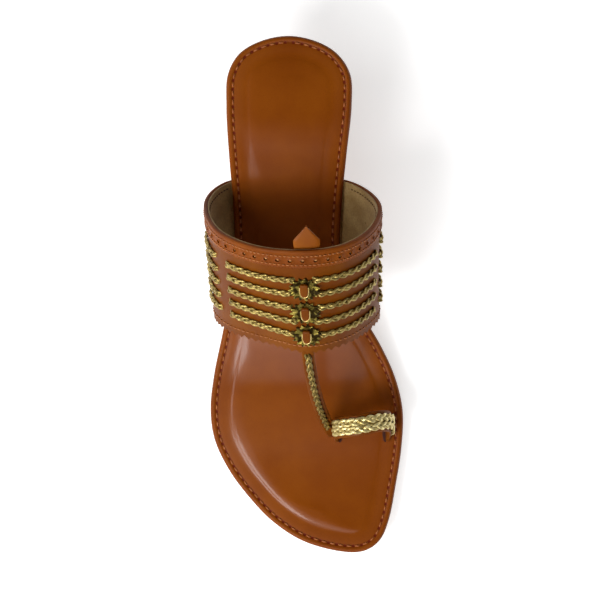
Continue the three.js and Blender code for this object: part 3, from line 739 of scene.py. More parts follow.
def heel_ring(half_width, back, breast, height, bend=HEEL_BEND, steps=HEEL_STRAIGHT):
    """A heel outline at a height that is a function of the station: the outer half, then the inner half back.

    Each half is a superelliptic back, a straight side and a rounded corner at the breast."""
    power = 2 / HEEL_ROUNDNESS
    turn = np.linspace(0, np.pi / 2, 9)[1:]
    straight = np.linspace(back + HEEL_BACK_DEPTH, breast - HEEL_CORNER, steps)[1:]
    rounded = back + HEEL_BACK_DEPTH * (1 - np.sin(bend) ** power)
    station = np.concatenate([rounded, straight, breast - HEEL_CORNER * (1 - np.sin(turn))])
    corner = half_width - HEEL_CORNER * (1 - np.cos(turn))
    out = np.concatenate([half_width * np.cos(bend) ** power, half_width + 0 * straight, corner])
    station = np.concatenate([station, station[::-1]])
    return place(station, HEEL_AXIS + np.concatenate([-out, out[::-1]]), height(station))


def level_at(share):
    """Half width, back and breast of the heel at a share of its height."""
    return [np.interp(share, HEEL_LEVELS[:, 0], HEEL_LEVELS[:, column]) for column in (1, 2, 3)]


block_foot = LIFT_THICKNESS + GAP
block_rings = [
    heel_ring(*level_at(share), lambda station: lerp(block_foot, tread(station) - GAP, share))
    for share in np.linspace(0, 1, HEEL_RINGS)
]
faces = across_patch(block_rings[0]), across_patch(block_rings[-1])[:, ::-1]
add_piece("heel_cover", [ringed(block_rings), *faces], heel_leather, ["heel_block"], crease=50)

# %% Top lift
RIB_PITCH, RIB_DEPTH, RIB_ROWS, RIB_COLUMNS = 1.7, 0.4, 110, 15
RIB_SIDE_FADE, RIB_END_FADE = 0.08, 0.5
even_bend = np.arcsin(np.linspace(1, 0, RIB_ROWS) ** (0.5 * HEEL_ROUNDNESS))
lift_bend = np.union1d(HEEL_BEND, even_bend)[::-1]
LIFT_PROFILE = [
    # inset and height of each ring, from the joint with the block to the rim round the ribs
    (LIFT_EASE, LIFT_THICKNESS), (0, LIFT_THICKNESS - LIFT_EASE), (0, LIFT_BEVEL),
    (LIFT_BEVEL * 0.3, LIFT_BEVEL * 0.3), (LIFT_BEVEL, 0), (LIFT_RIM, 0),
]


def lift_ring(inset, height):
    """The heel's outline at the floor, drawn in by an inset, at one height."""
    half_width, back, breast = level_at(0)
    sizes = half_width - inset, back + inset, breast - inset
    return heel_ring(*sizes, lambda station: height, lift_bend, RIB_ROWS)


lift_rings = [lift_ring(*row) for row in LIFT_PROFILE]
ribbed = across_patch(lift_rings[-1], RIB_COLUMNS)
across = np.linspace(0, 1, RIB_COLUMNS)
station = ORIGIN_STATION - ribbed[..., 1]
ribs = 0.5 - 0.5 * np.cos(2 * np.pi * station / RIB_PITCH)
inside = smoothstep(np.minimum(across, 1 - across), 0, RIB_SIDE_FADE)
ends = smoothstep(np.minimum(station - station.min(), station.max() - station), 0, RIB_END_FADE)
ribbed[..., 2] += RIB_DEPTH * ribs * inside * ends
ribbed[-1] = np.where((across < 0.5)[:, None], ribbed[-1, 0], ribbed[-1, -1])
faces = across_patch(lift_rings[0]), ribbed[:, ::-1]
add_piece("top_lift", [ringed(lift_rings), *faces], lift_rubber, ["heel_lift"], crease=50)

# %% [markdown]
# ## Insole
# The insole is a foam pad under glossy leather that is wrapped over its edge. Its section, from the joint up,
# is a rounded edge, a low bead, a stitched groove, a cushion that rises to a soft ridge and a shallow dish. A
# cloth simulation could puff it up, but the plan fixes its face closely, so one section is carried all round
# the outline, and the rings inside the ridge close on a line down the middle.

# %% Insole
GROOVE = 0.46
INSOLE_SECTION = [
    # inset and rise of each ring, from under the edge to the foot of the cushion
    (9.0, -5.6), (1.2, -5.6), (0.45, -5.35), (0.08, -4.6), (0.0, -3.6), (0.03, -2.4), (0.2, -1.4),
    (0.55, -0.65), (1.05, -0.2), (RIM_INSET, 0.0), (2.25, -0.12), (2.75, -0.36), (STITCH_INSET, -GROOVE),
    (3.65, -0.4), (4.3, -0.28), (5.0, -0.18), (6.0, -0.09), (7.5, -0.03), (8.6, 0.03), (9.0, 0.1),
]
RIDGE = [
    # distance in from the foot of the cushion, and rise
    (0.5, 0.18), (1.0, 0.3), (1.5, 0.47), (2.0, 0.6), (2.5, 0.7), (3.1, 0.8), (3.8, 0.89), (4.8, 0.98),
    (6.2, 1.06), (8.0, 1.11),
]
RIDGE_LIMIT, DISH_RISE, DISH_SHARES = 0.6, 0.9, np.linspace(0.2, 1, 8)
SPINE_BACK, SPINE_FRONT = 22.0, 212.0
RIDGE_INNER, INNER_SPAN, RIDGE_HEEL, HEEL_SPAN = 0.5, (0, 42), 0.6, (30, 100)
ridge_share = lerp(1.0, RIDGE_INNER, smoothstep(rim[:, 0], *INNER_SPAN))
ridge_share = ridge_share * lerp(RIDGE_HEEL, 1.0, smoothstep(rim[:, 1], *HEEL_SPAN))


def cushioned(rise):
    """A rise of the cushion, full on the outer forefoot, lower towards the inner side and the heel."""
    return rise * ridge_share if rise > 0 else rise


section = [rim_ring(inset, footbed, cushioned(rise)) for inset, rise in INSOLE_SECTION]
outer, inner = np.split(ORIGIN_STATION - section[-1][:, 1], 2)
pairs = 0.5 * (outer + inner[::-1])
spine_station = np.clip(np.concatenate([pairs, pairs[::-1]]), SPINE_BACK, SPINE_FRONT)
middle = 0.5 * (edge_across("outer", spine_station) + edge_across("inner", spine_station))
spine = place(spine_station, middle, 0)
reach = np.linalg.norm((spine - section[-1])[:, :2], axis=1)


def inner_ring(share, rise):
    """A ring part of the way from the section's last ring to the middle line, on the footbed plus a rise."""
    ring = lerp(section[-1], spine, share[:, None])
    ring[:, 2] = footbed(ORIGIN_STATION - ring[:, 1]) + rise
    return ring


ridge = [inner_ring(np.minimum(out / reach, RIDGE_LIMIT), cushioned(rise)) for out, rise in RIDGE]
crest_out, crest_rise = RIDGE[-1]
crest = np.minimum(crest_out / reach, RIDGE_LIMIT)
dish = [
    inner_ring(lerp(crest, 1, share), lerp(DISH_RISE, cushioned(crest_rise), (1 - share) ** 2))
    for share in DISH_SHARES
]
pad = np.stack(section + ridge + dish)
base = across_patch(pad[0])
print("insole:", len(pad), "rings of", pad.shape[1], "points")

# %% Map and mesh of the insole
UNDER_RINGS, UNDER_SHIFT, DISH_STEP, BASE_INSET = 4, 6.0, 2.0, 20.0
foot = INSOLE_SECTION[-1][0]
insets = [inset - UNDER_SHIFT * (ring < UNDER_RINGS) for ring, (inset, _) in enumerate(INSOLE_SECTION)]
insets += [foot + out for out, _ in RIDGE]
insets += [foot + crest_out + DISH_STEP * (ring + 1) for ring in range(len(dish))]
ring_uv = stacked(rim_length, np.array(insets)[:, None]).reshape(-1, 2)
base_uv = np.tile([0.0, BASE_INSET], (base.shape[0] * base.shape[1], 1))
insole = add_piece(
    "footbed_pad", [ringed(pad), base], insole_hide, ["insole"],
    uv=np.vstack([ring_uv, base_uv]),
)

# %% [markdown]
# ## Stitches
# A stitch is a short thread that comes up through one hole and goes down through the next. One small capsule
# of a few dozen faces, bent at both ends, is laid along a seam again and again. An Array modifier could
# repeat it too, but numpy places a whole seam at once and turns each stitch to the leather under it.

# %% Stitch helper
STITCH_BENDS = np.array([-1, -0.86, -0.5, 0, 0.5, 0.86, 1])
STITCH_SIZES = np.array([0.25, 0.8, 1, 1, 1, 0.8, 0.25])
STITCH_SIDES, STITCH_ARCH, STITCH_SINK = 6, 0.75, 0.35


def stitch_row(name, seam, normals, pitch, length, width, height, finish, slot, start=0.0):
    """Capsules along a line of points: each is an arched tube of six sides over length, every pitch.

    The arch follows 1 - t^4, in shares of the height, and its ends dip below the seam."""
    far = run_length(seam)
    at = np.arange(start, far[-1] - length, pitch) + length / 2
    where = at[:, None] + STITCH_BENDS * length / 2
    centre, outward = follow(seam, far, where), unit(follow(normals, far, where))
    sideways = unit(np.cross(outward, unit(np.gradient(centre, axis=1))))
    arch = height * (STITCH_ARCH * (1 - STITCH_BENDS**4) - STITCH_SINK)
    angle = turns(STITCH_SIDES)[:-1]
    girth = 0.5 * STITCH_SIZES[:, None]
    wide, high = width * girth * np.cos(angle), height * girth * np.sin(angle)
    tubes = tube(centre + arch[:, None] * outward, sideways, outward, wide, high)
    add_piece(name, list(capped(tubes)), finish, crease=80, closed=True)


print("one stitch has", (len(STITCH_BENDS) + 1) * STITCH_SIDES, "faces")


# %% Insole stitches
HOLE_LENGTH, FIRST_STITCH, THREAD_LIFT, THREAD_SIZE = 1.55, 1.65, 0.1, (0.75, 0.5)
groove = rim_ring(STITCH_INSET, footbed, THREAD_LIFT - GROOVE)
groove = np.vstack([groove, groove[:1]])
upright = np.tile([0.0, 0.0, 1.0], (len(groove), 1))
stitch_row(
    "insole_stitches", groove, upright, STITCH_PITCH, STITCH_PITCH - HOLE_LENGTH, *THREAD_SIZE,
    insole_thread, "insole_leather", start=FIRST_STITCH,
)

# %% [markdown]
# ## The band
# The upper's main piece is a wide band over the instep. It could be sculpted, but seams, holes and plaits
# have to follow it. So its outer face is a surface of two parameters: "row" runs round the foot from the
# outer margin to the inner one, "share" runs from the collar to the front edge. A short table gives each
# row's place at both edges, as a pattern cutter would measure it on the last.

# %% Band surface
WALL, BAND_LENGTH = 2.0, 54.5
COLLAR_STATION, FRONT_STATION = 63.6, 115.4
COLLAR_LEAN, FRONT_LEAN = 0.588, 0.52
BAND_ROWS = np.array([
    # collar across, collar up, front across, front up, share of the sole edge's curve that is kept
    (-22, 0.8, -25, 0.8, 1),
    (-31.2, 0.6, -34, 0.6, 1),
    (-38.3, 7.3, -38.6, 7.5, 0.6),
    (-41.4, 20, -39.8, 21, 0.2),
    (-34, 40.5, -32, 32, 0),
    (-17, 52.8, -14, 42, 0),
    (3.5, 56, 4.2, 49, 0),
    (20, 52.2, 18.6, 43.7, 0),
    (31.6, 40.5, 29.5, 32.6, 0),
    (35.8, 22.5, 35.4, 19.6, 0.2),
    (29.5, 8.8, 31.5, 7, 0.6),
    (18.8, 0.6, 22, 0.6, 1),
    (9.5, 0.8, 13, 0.8, 1),
])
LAST_ROW = len(BAND_ROWS) - 1
SHARE_HAIR, ROW_HAIR, MIDDLE_SHARE = 0.004, 0.002, 0.56
MARGIN_ROWS, ROOT_ROWS = (0.06, 0.94), (0.105, 0.895)


def band_control(entry, share):
    """The point of one table row at a share: straight between its ends, plus its part of the edge's bow."""
    row = BAND_ROWS[np.clip(entry, 0, LAST_ROW)]
    station = lerp(COLLAR_STATION, FRONT_STATION, share)
    bow = {}
    for side in ("outer", "inner"):
        ends = edge_across(side, COLLAR_STATION), edge_across(side, FRONT_STATION)
        bow[side] = edge_across(side, station) - lerp(*ends, share)
    across = lerp(row[..., 0], row[..., 2], share)
    across = across + row[..., 4] * np.where(row[..., 0] < 0, bow["outer"], bow["inner"])
    rise = lerp(row[..., 1], row[..., 3], share)
    lean = lerp(COLLAR_LEAN, FRONT_LEAN, share)
    return place(station + lean * rise, across, footbed(station) - INSOLE_THICKNESS + rise)


def band_point(row, share):
    """The band's outer face: a Catmull-Rom curve through the table's rows at each share."""
    row, share = np.broadcast_arrays(np.asarray(row, float), np.asarray(share, float))
    spot = row * LAST_ROW
    index = np.clip(spot.astype(int), 0, LAST_ROW - 1)
    p0, p1, p2, p3 = (band_control(index + step, share) for step in (-1, 0, 1, 2))
    p0 = np.where((index == 0)[..., None], 2 * p1 - p2, p0)
    p3 = np.where((index == LAST_ROW - 1)[..., None], 2 * p2 - p1, p3)
    return between(p0, p1, p2, p3, (spot - index)[..., None])


def band_frame(row, share):
    """Point, direction along the foot and outward normal, from small steps along both parameters."""
    along = unit(band_point(row, share + SHARE_HAIR) - band_point(row, share - SHARE_HAIR))
    around = unit(band_point(row + ROW_HAIR, share) - band_point(row - ROW_HAIR, share))
    return band_point(row, share), along, unit(np.cross(along, around))


measured_rows = np.linspace(0, 1, 1201)
measured = run_length(band_point(measured_rows, MIDDLE_SHARE))
measured -= np.interp(0.5, measured_rows, measured)


def band_row(distance):
    """Row parameter at a distance round the middle of the band from its crown."""
    return np.interp(distance, measured, measured_rows)


def on_band(distance, share, lift):
    """A point over the band: so far from the crown, at a share of its length, lifted off its face."""
    point, _, normal = band_frame(band_row(distance), share)
    return point + np.asarray(lift)[..., None] * normal


OUTER_FOOT, INNER_FOOT = np.interp(MARGIN_ROWS, measured_rows, measured)
OUTER_ROOT, INNER_ROOT = np.interp(ROOT_ROWS, measured_rows, measured)
print("band runs from", round(OUTER_ROOT, 1), "to", round(INNER_ROOT, 1), "mm round the foot")
print("with its margins from", round(OUTER_FOOT, 1), "to", round(INNER_FOOT, 1), "mm")

# %% [markdown]
# ## Band leather and lining
# Two layers make the wall: tan leather outside and beige suede inside. The leather's front edge is cut with
# pinking shears. A layer is drawn as closed loops, out along its outer face and back along its inner one, so
# its cut edge shows as on real leather.

# %% Band leather and lining
TOOTH_PITCH, TOOTH_DEPTH, COLUMNS_PER_TOOTH, TOOTH_FADE = 3.8, 1.7, 8, 5
LEATHER, LINING_LIFT, LINING_GAP, LINING_BACK = 1.2, 1.7, 0.02, 0.6


def zigzag(distance, pitch):
    """A wave of straight ramps, 0 at the notches and 1 at the points."""
    return 1 - np.abs(2 * (distance / pitch % 1) - 1)


def close_shell(loops):
    """Loops that run out and back, with each end zipped shut along its middle."""
    ends = [0.5 * (loops[end] + loops[end][::-1])[None] for end in (0, -1)]
    return np.concatenate([ends[0], loops, ends[1]])


def band_layer(name, lifts, front, lines, finish, replaces=()):
    """A layer of the band between two lifts, from the collar to a front edge given for each column."""
    share = np.linspace(0, 1, lines) * front[:, None]
    outer, inner = (on_band(distance[:, None], share, lift) for lift in lifts)
    loops = np.concatenate([outer, inner[:, ::-1]], axis=1)
    add_piece(name, [close_shell(loops)], finish, replaces, crease=50, closed=True)


tooth_columns = int(round((INNER_FOOT - OUTER_FOOT) / TOOTH_PITCH)) * COLUMNS_PER_TOOTH
distance = np.linspace(OUTER_FOOT, INNER_FOOT, tooth_columns + 1)
visible = smoothstep(distance, OUTER_ROOT, OUTER_ROOT + TOOTH_FADE)
visible = visible * smoothstep(-distance, -INNER_ROOT, TOOTH_FADE - INNER_ROOT)
notch = (1 - zigzag(distance - OUTER_FOOT, TOOTH_PITCH)) * visible
front = 1 - TOOTH_DEPTH / BAND_LENGTH * notch
band_layer("band_leather", (0.0, -LEATHER), front, 36, band_leather, ["upper"])
lining_lifts = -LEATHER - LINING_GAP, -LINING_LIFT
band_layer("band_lining", lining_lifts, front - LINING_BACK / BAND_LENGTH, 30, lining_suede)

# %% [markdown]
# ## Collar strip
# Round the collar runs a second strip of leather with a row of punched holes, two seams and a finely pinked
# lower edge. The holes are real: each tile of the strip is a ring of quads between a circle and a rectangle,
# so its neighbours share the rectangle's edge points. A rounded roll covers the collar's raw edge.

# %% Collar strip
STRIP_LIFT, STRIP_THICKNESS, STRIP_WIDTH, STRIP_TOOTH = 0.62, 0.6, 8.6, 0.5
HOLE_PITCH, HOLE_RADIUS, HOLE_FROM_EDGE = 5.1, 0.62, 4.8
TILE_DEPTH, TILE_COLUMNS, TILE_ROWS = 3.2, 8, 4
HOLE_LIPS = [(1.42, 0.0), (1.12, 0.2), (0.86, 0.24), (HOLE_RADIUS, -0.1)]
tile_count = int((INNER_ROOT - OUTER_ROOT) / HOLE_PITCH)
strip_start = 0.5 * (INNER_ROOT + OUTER_ROOT - tile_count * HOLE_PITCH)
strip_columns = strip_start + HOLE_PITCH * np.arange(tile_count * TILE_COLUMNS + 1) / TILE_COLUMNS
tile_centres = strip_start + HOLE_PITCH * (np.arange(tile_count)[:, None, None] + 0.5)


def over_strip(distance, from_edge, lift):
    """A point over the collar strip by its distance round the foot and its distance from the collar."""
    return on_band(distance, from_edge / BAND_LENGTH, lift)


def strip_field(edges):
    """A plain stretch of the strip: a row of points at each distance from the collar."""
    return over_strip(strip_columns, np.stack([edge + 0 * strip_columns for edge in edges]), STRIP_LIFT)


along, deep = np.arange(TILE_COLUMNS) / TILE_COLUMNS - 0.5, np.arange(TILE_ROWS) / TILE_ROWS - 0.5
border_x = np.concatenate([along, 0.5 + 0 * deep, -along, -0.5 + 0 * deep]) * HOLE_PITCH
border_y = np.concatenate([-0.5 + 0 * along, deep, 0.5 + 0 * along, -deep]) * TILE_DEPTH
bearing = np.arctan2(border_y, border_x)
lip_radius, lip_lift = np.array(HOLE_LIPS).T[..., None]
tile_x = np.vstack([border_x, lip_radius * np.cos(bearing)])
tile_y = np.vstack([border_y, lip_radius * np.sin(bearing)])
tile_lift = STRIP_LIFT + np.vstack([[0.0], lip_lift])
tiles = over_strip(tile_centres + tile_x, HOLE_FROM_EDGE + tile_y, tile_lift)
tiles = np.concatenate([tiles, tiles[:, :, :1]], axis=2)
upper_field = strip_field(np.linspace(0.0, HOLE_FROM_EDGE - TILE_DEPTH / 2, 5))
pinked = STRIP_WIDTH - STRIP_TOOTH * (np.arange(len(strip_columns)) % 2)
lower_edges = np.linspace(HOLE_FROM_EDGE + TILE_DEPTH / 2, STRIP_WIDTH - 2 * STRIP_TOOTH, 4)
lower_field = strip_field([*lower_edges, pinked])
strip = [upper_field[::-1], lower_field[::-1], *tiles[:, :, ::-1]]
add_piece("collar_strip", strip, strip_leather, crease=50, wall=STRIP_THICKNESS)

# %% Hole backs and collar roll
# Each hole is backed by a disc of painted light.
BACK_RADIUS, BACK_LIFT, BACK_WALL = HOLE_RADIUS + 0.1, 0.06, 0.05
spokes = BACK_RADIUS * np.array([[0.0], [1.0]])
discs = over_strip(
    tile_centres + spokes * np.cos(turns(16)), HOLE_FROM_EDGE + spokes * np.sin(turns(16)), BACK_LIFT
)
add_piece("hole_backs", list(discs), hole_back, wall=BACK_WALL)

ROLL_OUT, ROLL_IN, ROLL_HALF, ROLL_SQUARE, ROLL_SHORT = STRIP_LIFT + 0.02, -0.9, 0.4, 0.8, 2
angle = turns(16)[:-1]
roll_share = ROLL_HALF * bulge(np.cos(angle), ROLL_SQUARE) / BAND_LENGTH
roll_lift = lerp(ROLL_IN, ROLL_OUT, 0.5 + 0.5 * np.sin(angle))
roll_span = np.linspace(OUTER_FOOT + ROLL_SHORT, INNER_FOOT - ROLL_SHORT, 240)[:, None]
roll = on_band(roll_span, roll_share, roll_lift)
add_piece("collar_roll", [capped(roll)], strip_leather, crease=80, closed=True)

# %% Seams of the band
SEAM_SPAN = np.linspace(OUTER_ROOT + 1, INNER_ROOT - 1, 500)
UPPER_SEAM, LOWER_SEAM, FRONT_SEAM, SEAM_THREAD = 2.4, 6.9, BAND_LENGTH - 4.2, (0.6, 0.5)
SEAMS = {
    # name: distance from the collar, lift, way that the stitches face, pitch, length, thread
    "collar_seam_upper": (UPPER_SEAM, STRIP_LIFT, 1, 1.9, 1.5, tan_thread),
    "collar_seam_lower": (LOWER_SEAM, STRIP_LIFT, 1, 1.9, 1.5, tan_thread),
    "front_seam": (FRONT_SEAM, 0.0, 1, 2.4, 1.9, tan_thread),
    "lining_seam": (UPPER_SEAM, -LINING_LIFT, -1, 1.9, 1.3, lining_thread),
}
for name, (from_collar, lift, way, pitch, length, thread) in SEAMS.items():
    point, _, normal = band_frame(band_row(SEAM_SPAN), from_collar / BAND_LENGTH)
    seam, facing = point + lift * normal, way * normal
    stitch_row(name, seam, facing, pitch, length, *SEAM_THREAD, thread, "tan_leather")

# %% [markdown]
# ## Tongue
# A strip of leather lines the crown and stands out behind the collar as a small pointed tab. It lies on the
# band's own surface, carried on past the collar, so it keeps the crown's curve.

# %% Tongue
TONGUE_WIDTH, TONGUE_ACROSS, TONGUE_WALL, TONGUE_END = 11.0, 1.9, 1.5, 52
TAB_LENGTH, TAB_STRAIGHT, TAB_TIP = 11.5, 4.0, 0.06
TONGUE_GAP, TONGUE_ROUND, TONGUE_FLAT = 0.05, 0.35, 12
tab = np.linspace(-TAB_LENGTH, -TAB_STRAIGHT, 18)
from_collar = np.concatenate([tab, np.linspace(-TAB_STRAIGHT, TONGUE_END, 40)[1:]])[:, None]
taper = np.clip((from_collar + TAB_LENGTH) / (TAB_LENGTH - TAB_STRAIGHT), TAB_TIP, 1)
sweep = np.linspace(-1, 1, 15)
across = TONGUE_ACROSS + 0.5 * TONGUE_WIDTH * taper * np.concatenate([sweep, sweep[::-1]])
edge_round = TONGUE_ROUND * np.abs(sweep) ** TONGUE_FLAT
top, bottom = -WALL - TONGUE_GAP - edge_round, -WALL - TONGUE_WALL + edge_round
loops = on_band(across, from_collar / BAND_LENGTH, np.concatenate([top, bottom[::-1]]))
add_piece("tongue_tab", [close_shell(loops)], tab_leather, crease=50, closed=True)

# %% [markdown]
# ## Toe strap and toe ring
# Both are flat leather strips: the strap runs down from under the band to the insole, the ring stands across
# the big toe. A strip is a rounded rectangle carried along a curve. A bevelled curve object would do too, but
# it can twist where the line turns, so the width's direction is given here.

# %% Strips
STRAP_WIDTH, STRAP_WALL, RING_WIDTH, RING_WALL = 5.6, 2.0, 9.7, 2.0
LEG_END, STRIP_SQUARE = 4.3, 0.4
STRAP_LINE = [
    # station, across, height
    (132, 3.9, 65.5), (142, 4, 59.5), (158, 6.2, 45), (170, 9.2, 28.5), (177.5, 12, 16), (180.5, 13.4, 8.5),
    (180.5, 13.4, LEG_END),
]
RING_LINE = [
    (180, 16.2, LEG_END), (180, 16.2, 10), (178, 15.9, 19), (176.4, 18, 28), (174.8, 25.6, 32.5),
    (173.2, 33.6, 30), (174, 38, 22.5), (179.2, 37.6, 11), (180, 37.4, LEG_END),
]
strap_ends = place(*STRAP_LINE[-1]) - place(*STRAP_LINE[0])
STRAP_WIDTH_WAY = unit(np.array([-strap_ends[1], strap_ends[0], 0]))
RING_WIDTH_WAY = np.array([0.0, 1.0, 0.0])


def strip_frames(line, run, width_way):
    """Point, width direction and outward normal along a curve; the width direction is made square to it."""
    nodes = np.array([place(*row) for row in line])
    tangent = unit(through(nodes, np.minimum(run + HAIR, 1)) - through(nodes, np.maximum(run - HAIR, 0)))
    side = np.broadcast_to(width_way, tangent.shape)
    side = unit(side - (side * tangent).sum(axis=-1, keepdims=True) * tangent)
    return through(nodes, run), side, unit(np.cross(tangent, side))


def strip_piece(name, line, width_way, width, wall, steps):
    """A strip with rounded edges: a superellipse of power five carried along the line."""
    angle = turns(28)[:-1]
    wide = 0.5 * width * bulge(np.cos(angle), STRIP_SQUARE)
    high = 0.5 * wall * (1 + bulge(np.sin(angle), STRIP_SQUARE))
    rings = tube(*strip_frames(line, np.linspace(0, 1, steps), width_way), wide, high)
    add_piece(name, [capped(rings)], band_leather, crease=60, closed=True)


strip_piece("toe_strap", STRAP_LINE, STRAP_WIDTH_WAY, STRAP_WIDTH, STRAP_WALL, 110)
strip_piece("toe_ring", RING_LINE, RING_WIDTH_WAY, RING_WIDTH, RING_WALL, 150)

# %% [markdown]
# ## Slits in the insole
# Strap and ring go down through slits in the leather. A slit could be cut with a Boolean, but that would
# break up the insole's even rings. It shows only as shade round the strip's foot, so a thin lens of painted
# shade is laid on the insole there. Its height comes from the insole's own nearest points.

# %% Slits
TOP_RING, SLIT_NEAREST, NEAR_LIMIT = 13, 4, 0.05
SLIT_TOP, SLIT_BOTTOM = (0.1, -0.16), (-0.3, 0.24)
top_points = pad[TOP_RING:].reshape(-1, 3)


def insole_height(x, y):
    """Height of the insole's top: the mean of its nearest points, each weighed by one over its distance."""
    far = np.linalg.norm(stacked(x, y)[..., None, :] - top_points[:, :2], axis=-1)
    nearest = np.argsort(far, axis=-1)[..., :SLIT_NEAREST]
    weight = 1 / (np.take_along_axis(far, nearest, axis=-1) + NEAR_LIMIT)
    return (top_points[nearest, 2] * weight).sum(axis=-1) / weight.sum(axis=-1)


def slit(name, foot, long_way, half_long, half_wide):
    """A lens over an oval: its top falls from a tenth of a millimetre proud to just under the leather."""
    station, across, _ = foot
    out = np.linspace(0, 1, 6)[:, None]
    short_way = np.array([-long_way[1], long_way[0], 0.0])
    lens = place(station, across, 0.0) + (half_long * out * np.cos(turns(40)))[..., None] * long_way
    lens = lens + (half_wide * out * np.sin(turns(40)))[..., None] * short_way
    x, y = lens[..., 0], lens[..., 1]
    surface = insole_height(x, y)
    top, bottom = (stacked(x, y, surface + lift + fall * out**4) for lift, fall in (SLIT_TOP, SLIT_BOTTOM))
    add_piece(name, [top, bottom[:, ::-1]], slit_painted_shade, crease=80)


slit("slit_strap", STRAP_LINE[-1], STRAP_WIDTH_WAY, 0.5 * STRAP_WIDTH + 0.5, 1.9)
slit("slit_ring_outer", RING_LINE[0], RING_WIDTH_WAY, 0.5 * RING_WIDTH + 0.8, 1.9)
slit("slit_ring_inner", RING_LINE[-1], RING_WIDTH_WAY, 0.5 * RING_WIDTH + 0.4, 1.4)

# %% [markdown]
# ## Plaits
# Each gold cord is a flat plait of three strands. In a plait a strand swings from side to side as a sine, and
# rises and dips twice as fast, so that it passes over on the way out and under on the way back. The three
# strands are a third of a turn apart.

# %% Plait
PLAIT_PERIOD, PLAIT_STEP, STRAND_SIDES = 12.0, 0.42, 8
PLAIT_DIVE, DIVE_LENGTH = 2.0, 1.6
STRAND_WIDE, STRAND_HIGH, PLAIT_MIDDLE, PLAIT_WEAVE = 0.2, 0.27, 0.48, 0.25


def plait_piece(name, node, point, side, normal, width, height, gold):
    """Three strands along a path: sideways A sin(t), up B sin(2t), each an ellipse across its own run.

    At each end the plait dives through its slit."""
    far = run_length(point)
    at = np.linspace(0, far[-1], int(far[-1] / PLAIT_STEP))
    point, side, normal = (follow(line, far, at) for line in (point, side, normal))
    phase = 2 * np.pi * (at / PLAIT_PERIOD + np.arange(3)[:, None] / 3)
    strand_wide, strand_high = STRAND_WIDE * width, STRAND_HIGH * height
    swing_out = (0.5 * width - strand_wide) * np.sin(phase)
    sink = PLAIT_DIVE * (1 - smoothstep(np.minimum(at, far[-1] - at), 0.0, DIVE_LENGTH))
    rise = PLAIT_MIDDLE * height + PLAIT_WEAVE * height * np.sin(2 * phase) - sink
    centre = point + swing_out[..., None] * side + rise[..., None] * normal
    tangent = unit(np.gradient(centre, axis=1))
    wide_way = unit(np.cross(np.broadcast_to(normal, tangent.shape), tangent))
    angle = turns(STRAND_SIDES)
    high_way = np.cross(tangent, wide_way)
    rings = tube(centre, wide_way, high_way, strand_wide * np.cos(angle), strand_high * np.sin(angle))
    along = np.concatenate([at[:1], at, at[-1:]])[:, None]
    uv = np.tile(stacked(along, strand_wide * angle).reshape(-1, 2), (3, 1))
    add_piece(name, list(capped(rings)), gold, [node], crease=80, uv=uv)


print("a strand swings once over and back every", PLAIT_PERIOD, "mm")

# %% Plaits on the band
CORD_WIDTH, CORD_HEIGHT, DROOP_REACH = 3.0, 1.8, 38.0
CORD_ROWS = [0.272, 0.407, 0.542, 0.677, 0.812]
ROSETTE_CLEAR = [3.2, 4.8, 4.8, 3.0, 5.2]
CORD_SPANS = {
    # name: near end from the crown (0: clear of the rosettes), far end, its growth and its droop by row
    "outer_side": (-45, -67, -0.7, 0.009),
    "outer_top": (0, -38, -0.3, 0.009),
    "inner_top": (0, 41, 0, 0),
    "inner_side": (48, 66, 0, 0),
}
for name, (near, far, growth, droop) in CORD_SPANS.items():
    for index, (row_share, clear) in enumerate(zip(CORD_ROWS, ROSETTE_CLEAR)):
        ends = sorted((near or np.copysign(clear, far), far + growth * index))
        span = np.linspace(*ends, 80)
        share = row_share - droop * index * np.minimum(1, np.abs(span) / DROOP_REACH)
        path = band_frame(band_row(span), share)
        row = f"{name}_{index + 1}"
        plait_piece(f"plait_{row}", f"cord_{row}", *path, CORD_WIDTH, CORD_HEIGHT, plait_gold)

# %% Plaits on strap and ring
STRAP_PLAIT, RING_PLAIT = np.linspace(0.13, 0.62, 90), np.linspace(0.3, 0.84, 90)
STRAP_PLAIT_WIDTH, RING_PLAIT_WIDTH, RING_PLAIT_APART = 3.2, 4.1, 1.8
point, side, normal = strip_frames(STRAP_LINE, STRAP_PLAIT, STRAP_WIDTH_WAY)
path = point + STRAP_WALL * normal
plait_piece("plait_strap", "cord_strap", path, side, normal, STRAP_PLAIT_WIDTH, CORD_HEIGHT, strap_gold_painted_shade)
point, side, normal = strip_frames(RING_LINE, RING_PLAIT, RING_WIDTH_WAY)
for row, sign in (("ring_front", -1), ("ring_back", 1)):
    path = point + RING_WALL * normal + sign * RING_PLAIT_APART * side
    plait_piece(f"plait_{row}", f"cord_{row}", path, side, normal, RING_PLAIT_WIDTH, CORD_HEIGHT, ring_gold_painted_light)

# %% [markdown]
# ## Rosettes and keepers
# Three punched rosettes of gold foil run down the crown. Each is cupped round the tan keeper that holds it,
# and the keeper has a rim of gold on its toe end. They are drawn flat, in millimetres across and along, and
# laid over the band's surface.

